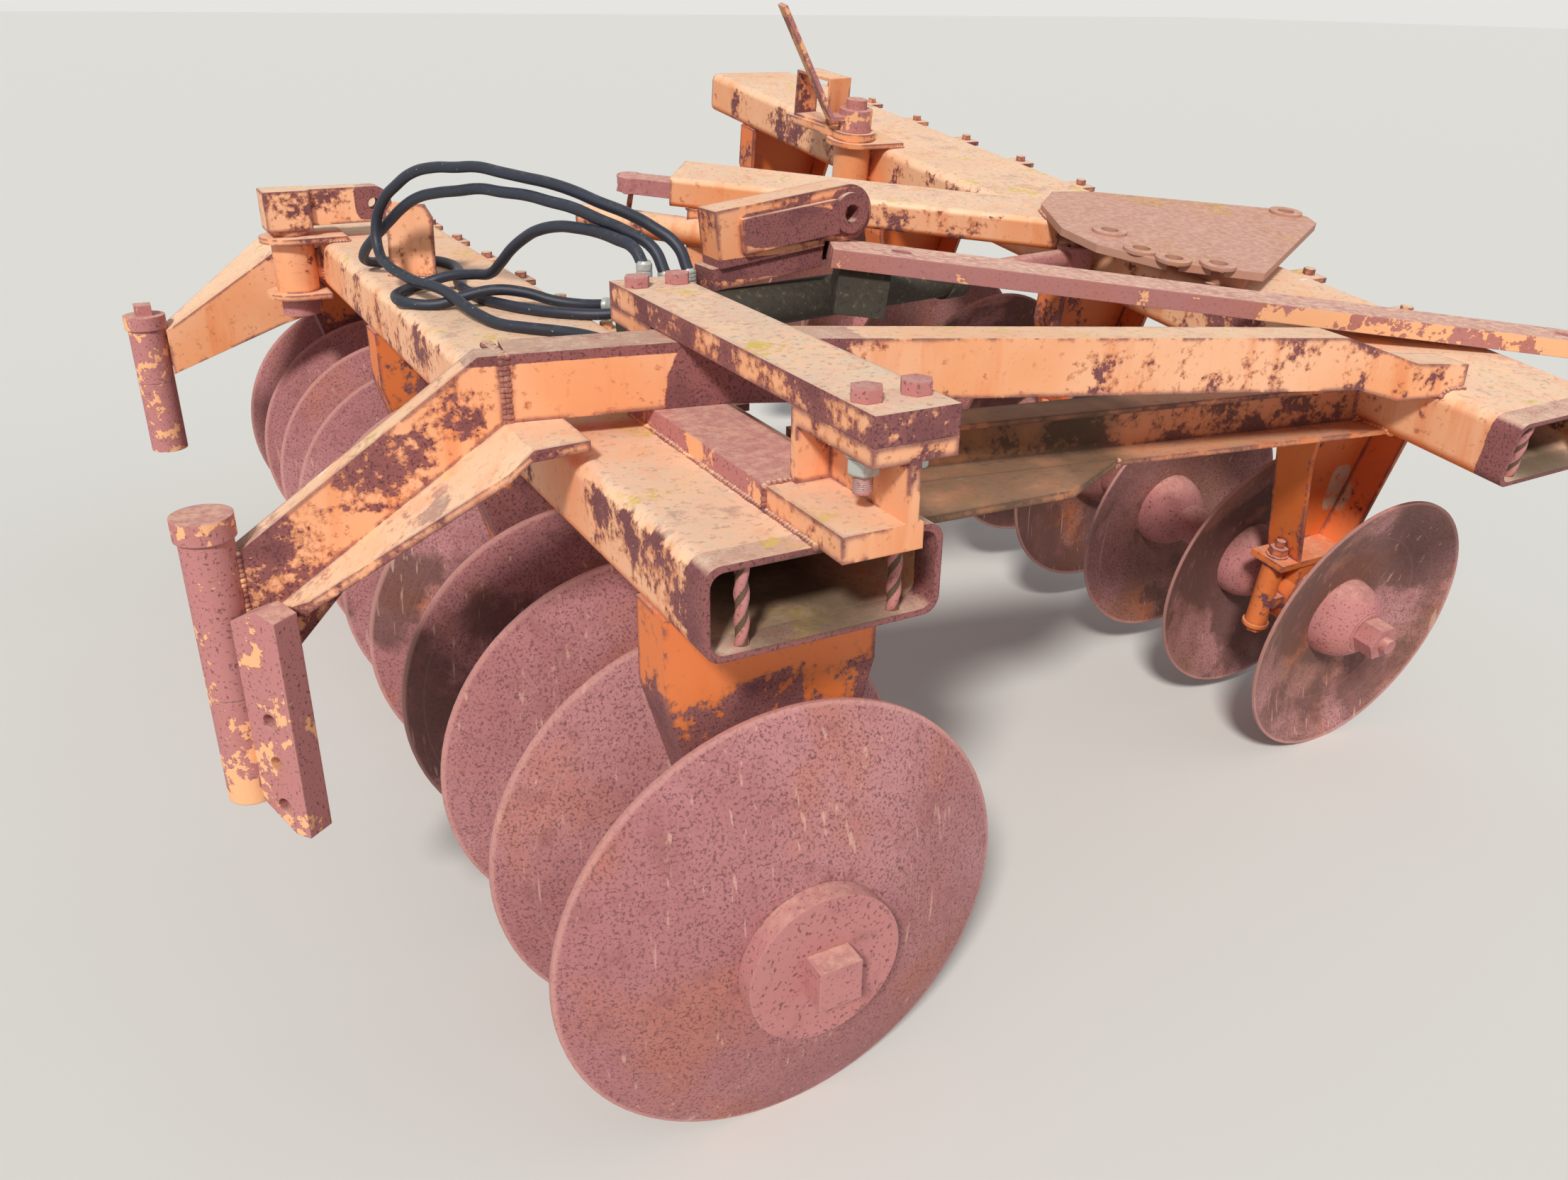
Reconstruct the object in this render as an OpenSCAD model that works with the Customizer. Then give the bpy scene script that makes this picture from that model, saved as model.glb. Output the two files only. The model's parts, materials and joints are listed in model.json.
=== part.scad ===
/* [Gangs] */
// Number of discs on each gang
disc_count = 11; // [4:1:16]
// Distance from one disc to the next
disc_spacing = 273; // [230:1:330]
// Diameter of the left gang's discs
left_disc_d = 711; // [560:1:760]
// Diameter of the right gang's worn discs
right_disc_d = 620; // [500:1:720]
// Thickness of a disc
disc_t = 7; // [5:1:10]
// Radius of the sphere that a disc is pressed to
dish_r = 780; // [600:10:1000]
// Side of the square gang axle
axle_side = 38; // [30:1:45]
// Radius of a spool's bell
bell_r = 92; // [75:1:110]
// Radius of a spool's waist, which runs in the bearings
waist_r = 46; // [36:1:55]
// Radius of a spool's flange
flange_r = 98; // [80:1:115]
// Thickness of a spool's flange
flange_t = 22; // [14:1:30]
// Radius of the end washer
washer_r = 118; // [90:1:130]

/* [Bearings and hangers] */
// Outer radius of a bearing housing
housing_r = 78; // [66:1:84]
// Length of a bearing housing
housing_len = 96; // [60:1:110]
// Running clearance of a bearing on its spool
bearing_gap = 0.08; // [0.02:0.01:0.1]
// Distance from the axle to a bearing's top pad
pad_h = 96; // [90:1:120]
// Distance from the axle to a clamp bolt's line
clamp_x = 104; // [100:1:120]
// Half width of a hanger at its foot
hanger_foot = 84; // [70:1:100]
// Thickness of a hanger's plate
hanger_t = 12; // [8:1:18]

/* [Gang beams] */
// Width of a gang beam
beam_w = 330; // [280:5:380]
// Height of a gang beam
beam_h = 125; // [100:5:160]
// Wall of a gang beam
beam_wall = 9; // [6:1:14]
// Radius of a gang beam's rounded edges
beam_round = 24; // [16:1:30]
// Length of a gang beam
beam_len = 3150; // [3100:10:3300]
// Distance from the axle to the underside of its beam
beam_lift = 498; // [470:1:560]
// Overhang of the left beam past its near disc
left_overhang = 85; // [60:5:140]
// Overhang of the right beam past its near disc
right_overhang = 254; // [200:5:300]

/* [Setting of the right gang] */
// Distance between the two gangs
gang_gap = 1620; // [1500:10:1800]
// Offset of the right gang along the left one
gang_shift = 332; // [250:1:400]
// Rise of the right gang towards its far end, in degrees
right_tilt = 7.5; // [6:0.5:9]
// Turn of the right gang about the vertical, in degrees
right_yaw = 1.5; // [0:0.5:3]

/* [Cross member] */
// Height of the cross channel
cross_h = 98; // [85:1:115]
// Width of the cross channel's flanges
cross_w = 84; // [60:1:95]
// Wall of the cross channel
cross_wall = 10; // [7:1:12]
// Turn of the cross channel about the vertical, in degrees
cross_yaw = -9; // [-10:0.1:-8]
// Thickness of the wear strip on the left beam
strip_t = 34; // [25:1:40]

/* [Clamp] */
// Length of the cap bar
cap_len = 793; // [760:1:860]
// Width of the cap bar
cap_w = 116; // [110:1:130]
// Thickness of the cap bar
cap_t = 38; // [25:1:45]
// Length of a clamp pedestal
pedestal_len = 190; // [160:5:220]
// Width of a clamp pedestal's foot
foot_w = 110; // [96:1:116]

/* [Swivels] */
// Outer radius of the near swivel's sleeve
near_sleeve_r = 36; // [33:1:42]
// Outer radius of the far swivel's sleeve
far_sleeve_r = 44; // [38:1:50]
// Radius of a swivel's pin
swivel_pin_r = 24; // [20:1:28]
// Radius of a gang pivot's pin
pin_r = 30; // [24:1:34]
// Running clearance of a swivel's pin
pin_gap = 0.08; // [0.02:0.01:0.1]

/* [Hidden] */
// Smoothness of the round forms
$fn = 48;
fine = 360;
// The middle of the machine lies at the origin, on the floor
mid_x = 709.6;
mid_y = 1510.1;
orange = "#d98a52";
faded = "#e2a878";
rust = "#7d4f45";
dark = "#3b3d36";
zinc = "#b5b8b6";
rubber = "#24272f";
// Rim depth of a disc of diameter d
function dish(d) = dish_r - sqrt(dish_r * dish_r - d * d / 4);
bearing_gaps = [0, 3, 6, 9];
last = disc_count - 1;
fit = 0.3;
beam_top = beam_lift + beam_h;
left_z = left_disc_d / 2;
right_z = right_disc_d / 2 * cos(right_tilt) + disc_t * sin(right_tilt);
top_z = left_z + beam_top;
strip_z = top_z + strip_t;
right_top_z = right_z + beam_top * cos(right_tilt) - 10;
cross_z = strip_z;
cap_z = cross_z + cross_h + 1;

module at_left() translate([-mid_x, -mid_y, left_z]) children();
module at_right() translate([gang_gap - mid_x, gang_shift - mid_y, right_z])
    rotate([0, 0, right_yaw]) rotate([right_tilt, 0, 0]) children();
// Machine frame: x across from the left gang, y from its near disc, z from the floor
module at_floor() translate([-mid_x, -mid_y, 0]) children();
// The right gang faces the other way, so its stack is the left one's mirror image
module flip_gang() translate([0, last * disc_spacing, 0]) mirror([0, 1, 0]) children();
module along_y() rotate([-90, 0, 0]) children();

module round_rect(w, h, r) {
    square([w - 2 * r, h], center = true);
    square([w, h - 2 * r], center = true);
    for (sx = [-1, 1], sy = [-1, 1])
        translate([sx * (w / 2 - r), sy * (h / 2 - r)]) circle(r = r);
}

// Bar of round_rect section along y, from y0 to y1, with its underside at z0
module box_tube(w, h, wall, r, y0, y1, z0) {
    translate([0, y1, z0 + h / 2]) rotate([90, 0, 0]) linear_extrude(height = y1 - y0)
        difference() {
            round_rect(w, h, r);
            round_rect(w - 2 * wall, h - 2 * wall, r - wall / 2);
        }
}

// Hexagon head or nut, across flats s
module hexagon(s, h) cylinder(d = s / cos(30), h = h, $fn = 6);

// One disc about z, rim at z = 0 and convex side down
module disc(d) {
    c = dish(d);
    difference() {
        rotate_extrude($fn = fine) intersection() {
            difference() {
                translate([0, dish_r - c]) circle(r = dish_r, $fn = fine);
                translate([0, dish_r - c]) circle(r = dish_r - disc_t, $fn = fine);
            }
            translate([0, -c - 1]) square([d / 2, c + disc_t + 1]);
        }
        cube([axle_side + 2 * fit, axle_side + 2 * fit, 3 * c], center = true);
    }
}

// One spool about z, from the hollow of the disc at z = 0 to the back of the next
module spool(d) {
    c = dish(d);
    start = disc_t - c;
    stop = disc_spacing - c;
    difference() {
        rotate_extrude($fn = fine) difference() {
            intersection() {
                union() {
                    translate([0, start]) square([waist_r, stop - start]);
                    translate([0, start + 6]) intersection() {
                        circle(r = bell_r, $fn = fine);
                        translate([0, -8]) square([bell_r, bell_r + 8]);
                    }
                    translate([0, stop - flange_t]) square([flange_r, flange_t + 8]);
                }
                translate([0, dish_r - c + fit]) circle(r = dish_r - disc_t, $fn = fine);
                translate([0, -c]) square([flange_r + 1, disc_spacing + 20]);
            }
            translate([0, dish_r - c + disc_spacing - fit]) circle(r = dish_r, $fn = fine);
        }
        translate([-axle_side / 2 - fit, -axle_side / 2 - fit, -c])
            cube([axle_side + 2 * fit, axle_side + 2 * fit, disc_spacing + 40]);
    }
}

module disc_row(d) for (k = [0 : last]) translate([0, k * disc_spacing, 0]) along_y() disc(d);
module spool_row(d)
    for (k = [0 : last - 1]) translate([0, k * disc_spacing, 0]) along_y() spool(d);

// Square head, washer and, at the far end, the end bell and nut
washer_t = 26;
head_t = 40;
nut_t = 46;
end_bell_len = 84;
module gang_ends(d) {
    c = dish(d);
    hole = axle_side + 2 * fit;
    along_y() difference() {
        translate([0, 0, -c - washer_t]) rotate_extrude($fn = fine) difference() {
            square([washer_r, washer_t + 12]);
            translate([0, washer_t + dish_r - fit]) circle(r = dish_r, $fn = fine);
        }
        translate([0, 0, -c - 2 * washer_t]) translate([-hole / 2, -hole / 2, 0])
            cube([hole, hole, 4 * washer_t]);
    }
    translate([0, last * disc_spacing - c + disc_t, 0]) along_y() difference() {
        rotate_extrude($fn = fine) intersection() {
            union() {
                translate([0, 6]) intersection() {
                    circle(r = bell_r, $fn = fine);
                    translate([0, -8]) square([bell_r, bell_r - 8]);
                }
                square([waist_r, end_bell_len]);
            }
            translate([0, dish_r - disc_t + fit]) circle(r = dish_r - disc_t, $fn = fine);
        }
        translate([-hole / 2, -hole / 2, -10]) cube([hole, hole, 3 * end_bell_len]);
    }
}

// Square bar with its square head, nut and rounded tip
module gang_axle(d) {
    c = dish(d);
    first = -c - washer_t;
    end = last * disc_spacing - c + disc_t + end_bell_len;
    translate([-axle_side / 2, first - 1, -axle_side / 2])
        cube([axle_side, end - first + 1, axle_side]);
    translate([-33, first - head_t, -33]) cube([66, head_t, 66]);
    translate([0, end, 0]) along_y() hexagon(72, nut_t);
    translate([0, end + nut_t - 1, 0]) along_y() cylinder(r = 17, h = 19);
}

// Middle of the waist of the spool in gap g
function waist_y(d, g) = g * disc_spacing + disc_t - dish(d)
    + (bell_r + 6 + disc_spacing - disc_t - flange_t) / 2;

// Housing about y with its clamp bolts, top pad up
module bearing() {
    difference() {
        union() {
            translate([0, -housing_len / 2, 0]) along_y() cylinder(r = housing_r, h = housing_len);
            translate([-clamp_x, -32, -14]) cube([2 * clamp_x, 64, 28]);
            translate([-62, -housing_len / 2 + 6, 0]) cube([124, housing_len - 12, pad_h]);
            for (s = [-1, 1]) translate([s * clamp_x, 0, 0]) {
                translate([0, 0, -64]) cylinder(r = 25, h = 64 + pad_h - 4);
                translate([0, 0, -70]) cylinder(r = 30, h = 8);
                translate([0, 0, -84]) hexagon(36, 15);
            }
        }
        translate([0, -housing_len, 0]) along_y()
            cylinder(r = waist_r + bearing_gap, h = 2 * housing_len);
    }
}

// Bent hanger plate over one bearing, its foot on the bearing's pad
hanger_depth = 90;
hanger_bend = 370;
module hanger_outline(inset, low, high) {
    top = beam_w / 2 - 6 - inset;
    foot = hanger_foot - inset;
    polygon([[-foot, low], [foot, low], [top, hanger_bend], [top, high], [-top, high],
             [-top, hanger_bend]]);
}
module hanger() {
    translate([0, -hanger_depth / 2 + hanger_t, 0]) rotate([90, 0, 0])
        linear_extrude(height = hanger_t) hanger_outline(0, pad_h + 14, beam_lift);
    translate([0, hanger_depth / 2, 0]) rotate([90, 0, 0])
        linear_extrude(height = hanger_depth - 1) difference() {
            hanger_outline(0, pad_h + 14, beam_lift);
            hanger_outline(hanger_t, pad_h, beam_lift + 1);
        }
    translate([-clamp_x - 30, -hanger_depth / 2, pad_h])
        cube([2 * clamp_x + 60, hanger_depth, 16]);
    for (s = [-1, 1]) translate([s * clamp_x, 0, pad_h + 15]) {
        cylinder(r = 24, h = 5);
        hexagon(36, 22);
        cylinder(r = 10, h = 38);
    }
}
module hanger_row(d, shift = 0)
    for (g = bearing_gaps) translate([0, waist_y(d, g) + shift, 0]) hanger();
module bearing_row(d, shift = 0)
    for (g = bearing_gaps) translate([0, waist_y(d, g) + shift, 0]) bearing();
// The right gang's bearings have crept along their waists
right_creep = -16;

// Gang beam with its scraper tabs and the bars welded in its near mouth
tab_w = 70;
tab_out = 45;
module beam(overhang, out) {
    box_tube(beam_w, beam_h, beam_wall, beam_round, -overhang, beam_len - overhang, beam_lift);
    for (k = [1 : last]) translate([beam_w / 2 - 4, k * disc_spacing - 20, beam_top - 34]) {
        cube([out, tab_w, 12]);
        translate([out - 24, tab_w / 2, 11]) hexagon(24, 15);
    }
    for (s = [-1, 1]) translate([s * (beam_w / 2 - 58), 18 - overhang, beam_lift + beam_wall - 1])
        cylinder(r = 8, h = beam_h - 2 * beam_wall + 2, $fn = 24);
}
module left_beam() color(faded) at_left() beam(left_overhang, tab_out);
module right_beam() color(faded) at_right() beam(right_overhang, tab_out + 55);

foot_x = -18;
clamp_y = -145;
cross_near = 390;
// The far pedestal starts behind the cross channel
far_pedestal_len = clamp_y + cap_len - cross_near - cross_w - 14;
module wear_strip() color(rust) at_floor() translate([foot_x, clamp_y + pedestal_len + 1, top_z])
    cube([foot_w, cap_len - pedestal_len - far_pedestal_len - 2, strip_t]);

// Two plates, a bush and a web on the beam's left side, for a vertical pin
bracket_out = 66;
bracket_r = 78;
bush_r = 52;
bracket_t = 14;
module bracket_plate(reach) linear_extrude(height = bracket_t) difference() {
    intersection() {
        union() {
            circle(r = bracket_r);
            translate([0, -bracket_r]) square([reach, 2 * bracket_r]);
        }
        translate([-bracket_r - 1, -bracket_r - 1]) square([bracket_r + 1 + reach, 2 * bracket_r + 2]);
    }
    circle(r = pin_r + pin_gap);
}
module pivot_bracket() translate([-beam_w / 2 - bracket_out, 0, beam_lift]) {
    translate([0, 0, -bracket_t]) bracket_plate(bracket_out + 4);
    translate([0, 0, beam_h]) bracket_plate(bracket_out + 60);
    difference() {
        union() {
            cylinder(r = bush_r, h = beam_h);
            translate([0, -8, beam_round]) cube([bracket_out, 16, beam_h - 2 * beam_round]);
        }
        translate([0, 0, -1]) cylinder(r = pin_r + pin_gap, h = beam_h + 2);
    }
}
bracket_x = -beam_w / 2 - bracket_out;
left_bracket_y = 2240;
right_bracket_y = 1860;
module left_pivot_bracket() color(faded) at_left() translate([0, left_bracket_y, 0]) pivot_bracket();
module right_pivot_bracket() color(faded) at_right()
    translate([0, right_bracket_y, 0]) pivot_bracket();

// Pin with its collar and nut below the bracket
module pivot_pin(above) {
    translate([0, 0, beam_lift - bracket_t - 50]) cylinder(r = pin_r, h = beam_h + 2 * bracket_t + 50 + above);
    translate([0, 0, beam_lift - bracket_t - 46]) cylinder(r = 46, h = 45);
}
module left_pivot_pin() color(rust) at_left()
    translate([bracket_x, left_bracket_y, 0]) pivot_pin(20);
module right_pivot_pin() color(rust) at_right()
    translate([bracket_x, right_bracket_y, 0]) pivot_pin(110);

// Block on the pin with a rounded lug and a level bore
eye_t = 62;
eye_r = 44;
eye_bore = 15;
eye_reach = 210;
module left_eye_block() color(orange) at_left()
    translate([bracket_x, left_bracket_y, beam_top + bracket_t + 1]) difference() {
        union() {
            cylinder(r = 42, h = 16);
            translate([-60, -48, 15]) cube([110, 96, 96]);
            translate([0, -eye_t / 2, 23]) cube([eye_reach, eye_t, 88]);
            translate([eye_reach, eye_t / 2, 67]) rotate([90, 0, 0]) cylinder(r = eye_r, h = eye_t);
        }
        translate([0, 0, -1]) cylinder(r = pin_r + pin_gap, h = 22);
        translate([eye_reach, eye_t, 67]) rotate([90, 0, 0]) cylinder(r = eye_bore, h = 2 * eye_t);
    }

// Small bent plate that held the hoses up
module hose_plate() color(orange) at_floor() translate([-110, 1685, top_z]) rotate([0, 0, -29]) {
    translate([0, 8, 0]) rotate([90, 0, 0]) linear_extrude(height = 8)
        polygon([[0, 0], [104, 0], [108, 130], [92, 158], [24, 162], [8, 140]]);
    cube([90, 36, 8]);
}

// Base plate, slotted plate and open square tube that turn on the right pin
module lever_base() color(rust) at_right()
    translate([bracket_x, right_bracket_y, beam_top + bracket_t + 1]) {
        linear_extrude(height = 22) difference() {
            union() {
                circle(r = 62);
                rotate([0, 0, 100]) translate([0, -50]) square([250, 100]);
            }
            circle(r = pin_r + pin_gap);
        }
        rotate([0, 0, 100]) translate([76, -40, 21]) difference() {
            cube([150, 80, 130]);
            translate([8, -1, 8]) cube([134, 82, 114]);
        }
    }
module swivel_lever() color(orange) at_right()
    translate([bracket_x, right_bracket_y, beam_top + bracket_t + 24]) difference() {
        union() {
            cylinder(r = 48, h = 60);
            rotate([0, 0, 170]) translate([20, -26, 30]) cube([66, 52, 12]);
            rotate([0, 0, 170]) translate([84, -26, 30]) rotate([0, -60, 0]) cube([340, 52, 12]);
        }
        translate([0, 0, -1]) cylinder(r = pin_r + pin_gap, h = 200);
        translate([-200, -200, -100]) cube([400, 400, 100]);
    }

// Cross channel on the strip, its right end squeezed flat onto the right beam
cross_left = -225;
cross_slope = 3.9;
cross_seat = 92;
cross_squeeze = 1280;
cross_end = 1530;
squeezed_h = 44;
function cross_low(x) = cross_z - max(0, x - cross_seat) * tan(cross_slope);
module cross_side(inset) {
    low = cross_low(cross_squeeze);
    end_low = right_top_z - 14;
    polygon([[cross_left - inset, cross_z + inset], [cross_seat, cross_z + inset],
             [cross_squeeze, low + inset], [cross_end - 150, end_low + inset], [cross_end + inset, end_low + inset],
             [cross_end + inset, end_low + squeezed_h + 14 - inset],
             [cross_end - 120, end_low + squeezed_h + 24 - inset], [cross_squeeze - 40, low + cross_h - inset],
             [cross_seat, cross_z + cross_h - inset], [cross_left - inset, cross_z + cross_h - inset]]);
}
module at_cross() at_floor() translate([0, cross_near, 0]) rotate([0, 0, cross_yaw]) children();
module on_side(y, t) translate([0, y + t, 0]) rotate([90, 0, 0]) linear_extrude(height = t) children();
module cross_channel() color(orange) difference() {
    at_cross() difference() {
        on_side(0, cross_w) cross_side(0);
        on_side(cross_wall, cross_w - 2 * cross_wall) cross_side(cross_wall);
    }
    at_right() translate([0, 0, fit]) rotate([90, 0, 0]) translate([0, beam_lift + beam_h / 2, -600])
        linear_extrude(height = 1200) round_rect(beam_w, beam_h, beam_round);
}

// Lower channel, open to the near side, from the left beam's clamp to the right beam
lower_h = 108;
lower_low = 800;
lower_start = 250;
module lower_channel() color(dark) difference() {
    at_cross() difference() {
        translate([lower_start, 96, lower_low]) cube([1300, 80, lower_h]);
        translate([lower_start - 1, 95, lower_low + 10]) cube([1302, 71, lower_h - 20]);
    }
    at_right() rotate([90, 0, 0]) translate([0, beam_lift + beam_h / 2, -600])
        linear_extrude(height = 1200) round_rect(beam_w + 2 * fit, beam_h + 2 * fit, beam_round);
    at_right() translate([-beam_w / 2, -600, 0]) cube([beam_w, 1200, beam_lift]);
}

// Wide plate welded along the lower channel's near edge
module under_plate() color(orange) at_cross() translate([0, 0, lower_low]) linear_extrude(height = 14)
    polygon([[190, -40], [250, -75], [700, -20], [860, 95.5], [250, 95.5], [190, 60]]);

// Clamp pedestal: foot, web, top plate and an end plate towards the channel
clamp_x0 = 18;
bolt_in = 24;
bolt_end = 58;
pedestal_top = 24;
web_t = 16;
module pedestal(len) {
    foot_at = foot_x - clamp_x0;
    web_h = cap_z - top_z - strip_t - pedestal_top;
    translate([foot_at, 0, 0]) cube([foot_w, len, strip_t]);
    translate([0, 0, cap_z - top_z - pedestal_top - fit]) cube([cap_w, len, pedestal_top]);
    translate([cap_w / 2 - web_t / 2, 0, strip_t - 1]) cube([web_t, len, web_h + 2]);
    translate([0, len - 14, strip_t - 1]) cube([foot_at + foot_w, 14, web_h + 2]);
}
module pedestal_bored(len) difference() {
    pedestal(len);
    for (x = [bolt_in, cap_w - bolt_in])
        translate([x, bolt_end, cap_z - top_z - 2 * pedestal_top]) cylinder(r = 12.5, h = 3 * pedestal_top);
}
module near_pedestal() color(orange) at_floor() translate([clamp_x0, clamp_y, top_z]) pedestal_bored(pedestal_len);
module far_pedestal() color(orange) at_floor()
    translate([clamp_x0, clamp_y + cap_len, top_z]) mirror([0, 1, 0]) pedestal_bored(far_pedestal_len);
module bolt_places()
    for (x = [bolt_in, cap_w - bolt_in], y = [bolt_end, cap_len - bolt_end])
        translate([clamp_x0 + x, clamp_y + y, cap_z]) children();
module cap_bar() color(faded) at_floor() difference() {
    translate([clamp_x0, clamp_y, cap_z]) cube([cap_w, cap_len, cap_t]);
    bolt_places() translate([0, 0, -1]) cylinder(r = 12.5, h = cap_t + 2);
}
module clamp_bolts() color(rust) at_floor() bolt_places() {
    translate([0, 0, cap_t]) hexagon(36, 17);
    translate([0, 0, -pedestal_top - 50]) cylinder(r = 12, h = cap_t + pedestal_top + 51);
    translate([0, 0, -pedestal_top - fit - 22]) hexagon(36, 22);
}

// Arms that carry the swivels out to the left of the left beam
near_swivel = [-638, 480];
near_cap_z = 928;
near_joint_z = 660;
near_low_z = 488;
arm_slope = 34.5;
arm_t = 12;
bend_x = -232;
arm_end_x = -612;
module near_arm() color(faded) at_floor() difference() {
    drop = (bend_x - arm_end_x) * tan(arm_slope);
    bend_y = cross_near - bend_x * tan(-cross_yaw) - 2;
    union() {
        // Web and its outer flange
        translate([bend_x, bend_y, 0]) rotate([0, 0, -6.6]) translate([-bend_x, 0, 0]) {
            on_side(0, arm_t) polygon([[bend_x, cross_z - arm_t], [bend_x, cross_z + cross_h],
                [bend_x - 30, cross_z + cross_h], [arm_end_x, cross_z + cross_h - drop + 16],
                [arm_end_x, cross_z - arm_t - drop]]);
            on_side(0, 46) polygon([[bend_x, cross_z + cross_h - arm_t], [bend_x, cross_z + cross_h],
                [bend_x - 30, cross_z + cross_h], [arm_end_x, cross_z + cross_h - drop + 16],
                [arm_end_x, cross_z + cross_h - drop + 2], [bend_x - 28, cross_z + cross_h - arm_t]]);
            on_side(26, 10) polygon([[bend_x - 90, cross_z - 62], [arm_end_x, cross_z - drop],
                [arm_end_x, cross_z - drop - 118]]);
        }
        // Tapered lower plate with the tab that lies over the beam
        intersection() {
            on_side(200, 400) polygon([[bend_x - 4, cross_z - 16], [-150, cross_z - 16], [-150, cross_z],
                [bend_x, cross_z], [arm_end_x, cross_z - drop], [arm_end_x, cross_z - drop - 17]]);
            translate([0, 0, 500]) linear_extrude(height = 600)
                polygon([[-150, 304], [-270, 292], [arm_end_x + 82, 404], [arm_end_x + 24, 474],
                    [arm_end_x, 478], [arm_end_x, 508], [bend_x, bend_y + 48], [-150, bend_y + 12]]);
        }
    }
    translate([near_swivel[0], near_swivel[1], 500]) cylinder(r = near_sleeve_r + fit, h = 500);
}
module near_sleeve() color(rust) at_floor() translate([near_swivel[0], near_swivel[1], 0])
    difference() {
        translate([0, 0, near_joint_z]) cylinder(r = near_sleeve_r, h = near_cap_z - 32 - near_joint_z);
        translate([0, 0, 600]) cylinder(r = swivel_pin_r + pin_gap, h = 400);
    }
module near_leg() color(rust) at_floor() translate([near_swivel[0], near_swivel[1], 0]) {
    translate([0, 0, near_low_z]) cylinder(r = swivel_pin_r, h = near_cap_z - near_low_z - 10);
    translate([0, 0, near_cap_z - 31]) cylinder(r = 41, h = 31);
    translate([0, 0, near_low_z]) cylinder(r = near_sleeve_r, h = near_joint_z - near_low_z - 1);
}
strap_turn = -53;
strap_low = 455;
strap_top = 800;
strap_w = 80;
strap_t = 42;
strap_off = 5.5;
module near_strap() color(rust) at_floor() translate([near_swivel[0], near_swivel[1], 0])
    rotate([0, 0, strap_turn]) difference() {
        union() {
            translate([near_sleeve_r + strap_off, -strap_t / 2, 0]) on_side(0, strap_t)
                polygon([[0, strap_low + 45], [strap_w - 26, strap_low], [strap_w, strap_low],
                    [strap_w, strap_top], [strap_w - 30, strap_top + 12], [0, strap_top - 12]]);
            // Weld lug on the turning half of the sleeve
            translate([near_sleeve_r - 8, -14, near_low_z + 14])
                cube([strap_off + 12, 28, near_joint_z - near_low_z - 32]);
        }
        translate([0, 0, near_low_z]) cylinder(r = near_sleeve_r + fit, h = strap_top);
        for (k = [0 : 2])
            translate([near_sleeve_r + strap_off + strap_w / 2, strap_t, strap_low + 45 + 70 * k])
                rotate([90, 0, 0]) cylinder(r = 12, h = 2 * strap_t);
    }
far_swivel = [-600, 2370];
far_cap_z = 797;
far_joint_z = 625;
far_low_z = 440;
far_arm_end = -556;
far_arm_root = -beam_w / 2;
module far_arm_side(inset) polygon([[far_arm_root + inset, 948 - inset], [far_arm_root + inset, 775 - 2 * inset],
    [-270, 748 - 2 * inset], [far_arm_end - inset, 646 - 2 * inset], [far_arm_end - inset, 758 - inset],
    [-262, 940 - inset]]);
module far_arm_plan(inset) polygon([[far_arm_root + inset, 2330 + inset], [far_arm_end - inset, 2330 + inset],
    [far_arm_end - inset, 2420 - inset], [-320, 2560 - inset], [far_arm_root + inset, 2640 - inset]]);
module far_arm() color(faded) at_floor() difference() {
    intersection() {
        on_side(2200, 600) far_arm_side(0);
        translate([0, 0, 500]) linear_extrude(height = 600) far_arm_plan(0);
    }
    intersection() {
        on_side(2200, 600) far_arm_side(12);
        translate([0, 0, 500]) linear_extrude(height = 600) far_arm_plan(12);
    }
    translate([far_swivel[0], far_swivel[1], 500]) cylinder(r = far_sleeve_r + fit, h = 500);
}
module far_sleeve() color(rust) at_floor() translate([far_swivel[0], far_swivel[1], 0])
    difference() {
        translate([0, 0, far_joint_z]) cylinder(r = far_sleeve_r, h = far_cap_z - 34 - far_joint_z);
        translate([0, 0, 600]) cylinder(r = swivel_pin_r + pin_gap, h = 240);
    }
module far_leg() color(rust) at_floor() translate([far_swivel[0], far_swivel[1], 0]) {
    translate([0, 0, far_low_z]) cylinder(r = swivel_pin_r, h = far_cap_z - far_low_z - 10);
    translate([0, 0, far_cap_z - 33]) cylinder(r = 50, h = 33);
    translate([-20, -20, far_cap_z - 1]) cube([40, 40, 28]);
    translate([0, 0, far_low_z]) cylinder(r = far_sleeve_r, h = far_joint_z - far_low_z - 1);
}

module left_hangers() color(orange) at_left() hanger_row(left_disc_d);
module left_bearings() color(rust) at_left() bearing_row(left_disc_d);
module left_axle() color(rust) at_left() gang_axle(left_disc_d);
module left_discs() color(rust) at_left() disc_row(left_disc_d);
module left_spools() color(rust) at_left() spool_row(left_disc_d);
module left_ends() color(rust) at_left() gang_ends(left_disc_d);
module right_hangers() color(orange) at_right() flip_gang() hanger_row(right_disc_d, right_creep);
module right_bearings() color(rust) at_right() flip_gang() bearing_row(right_disc_d, right_creep);
module right_axle() color(rust) at_right() flip_gang() gang_axle(right_disc_d);
module right_discs() color(rust) at_right() flip_gang() disc_row(right_disc_d);
module right_spools() color(rust) at_right() flip_gang() spool_row(right_disc_d);
module right_ends() color(rust) at_right() flip_gang() gang_ends(right_disc_d);

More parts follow.
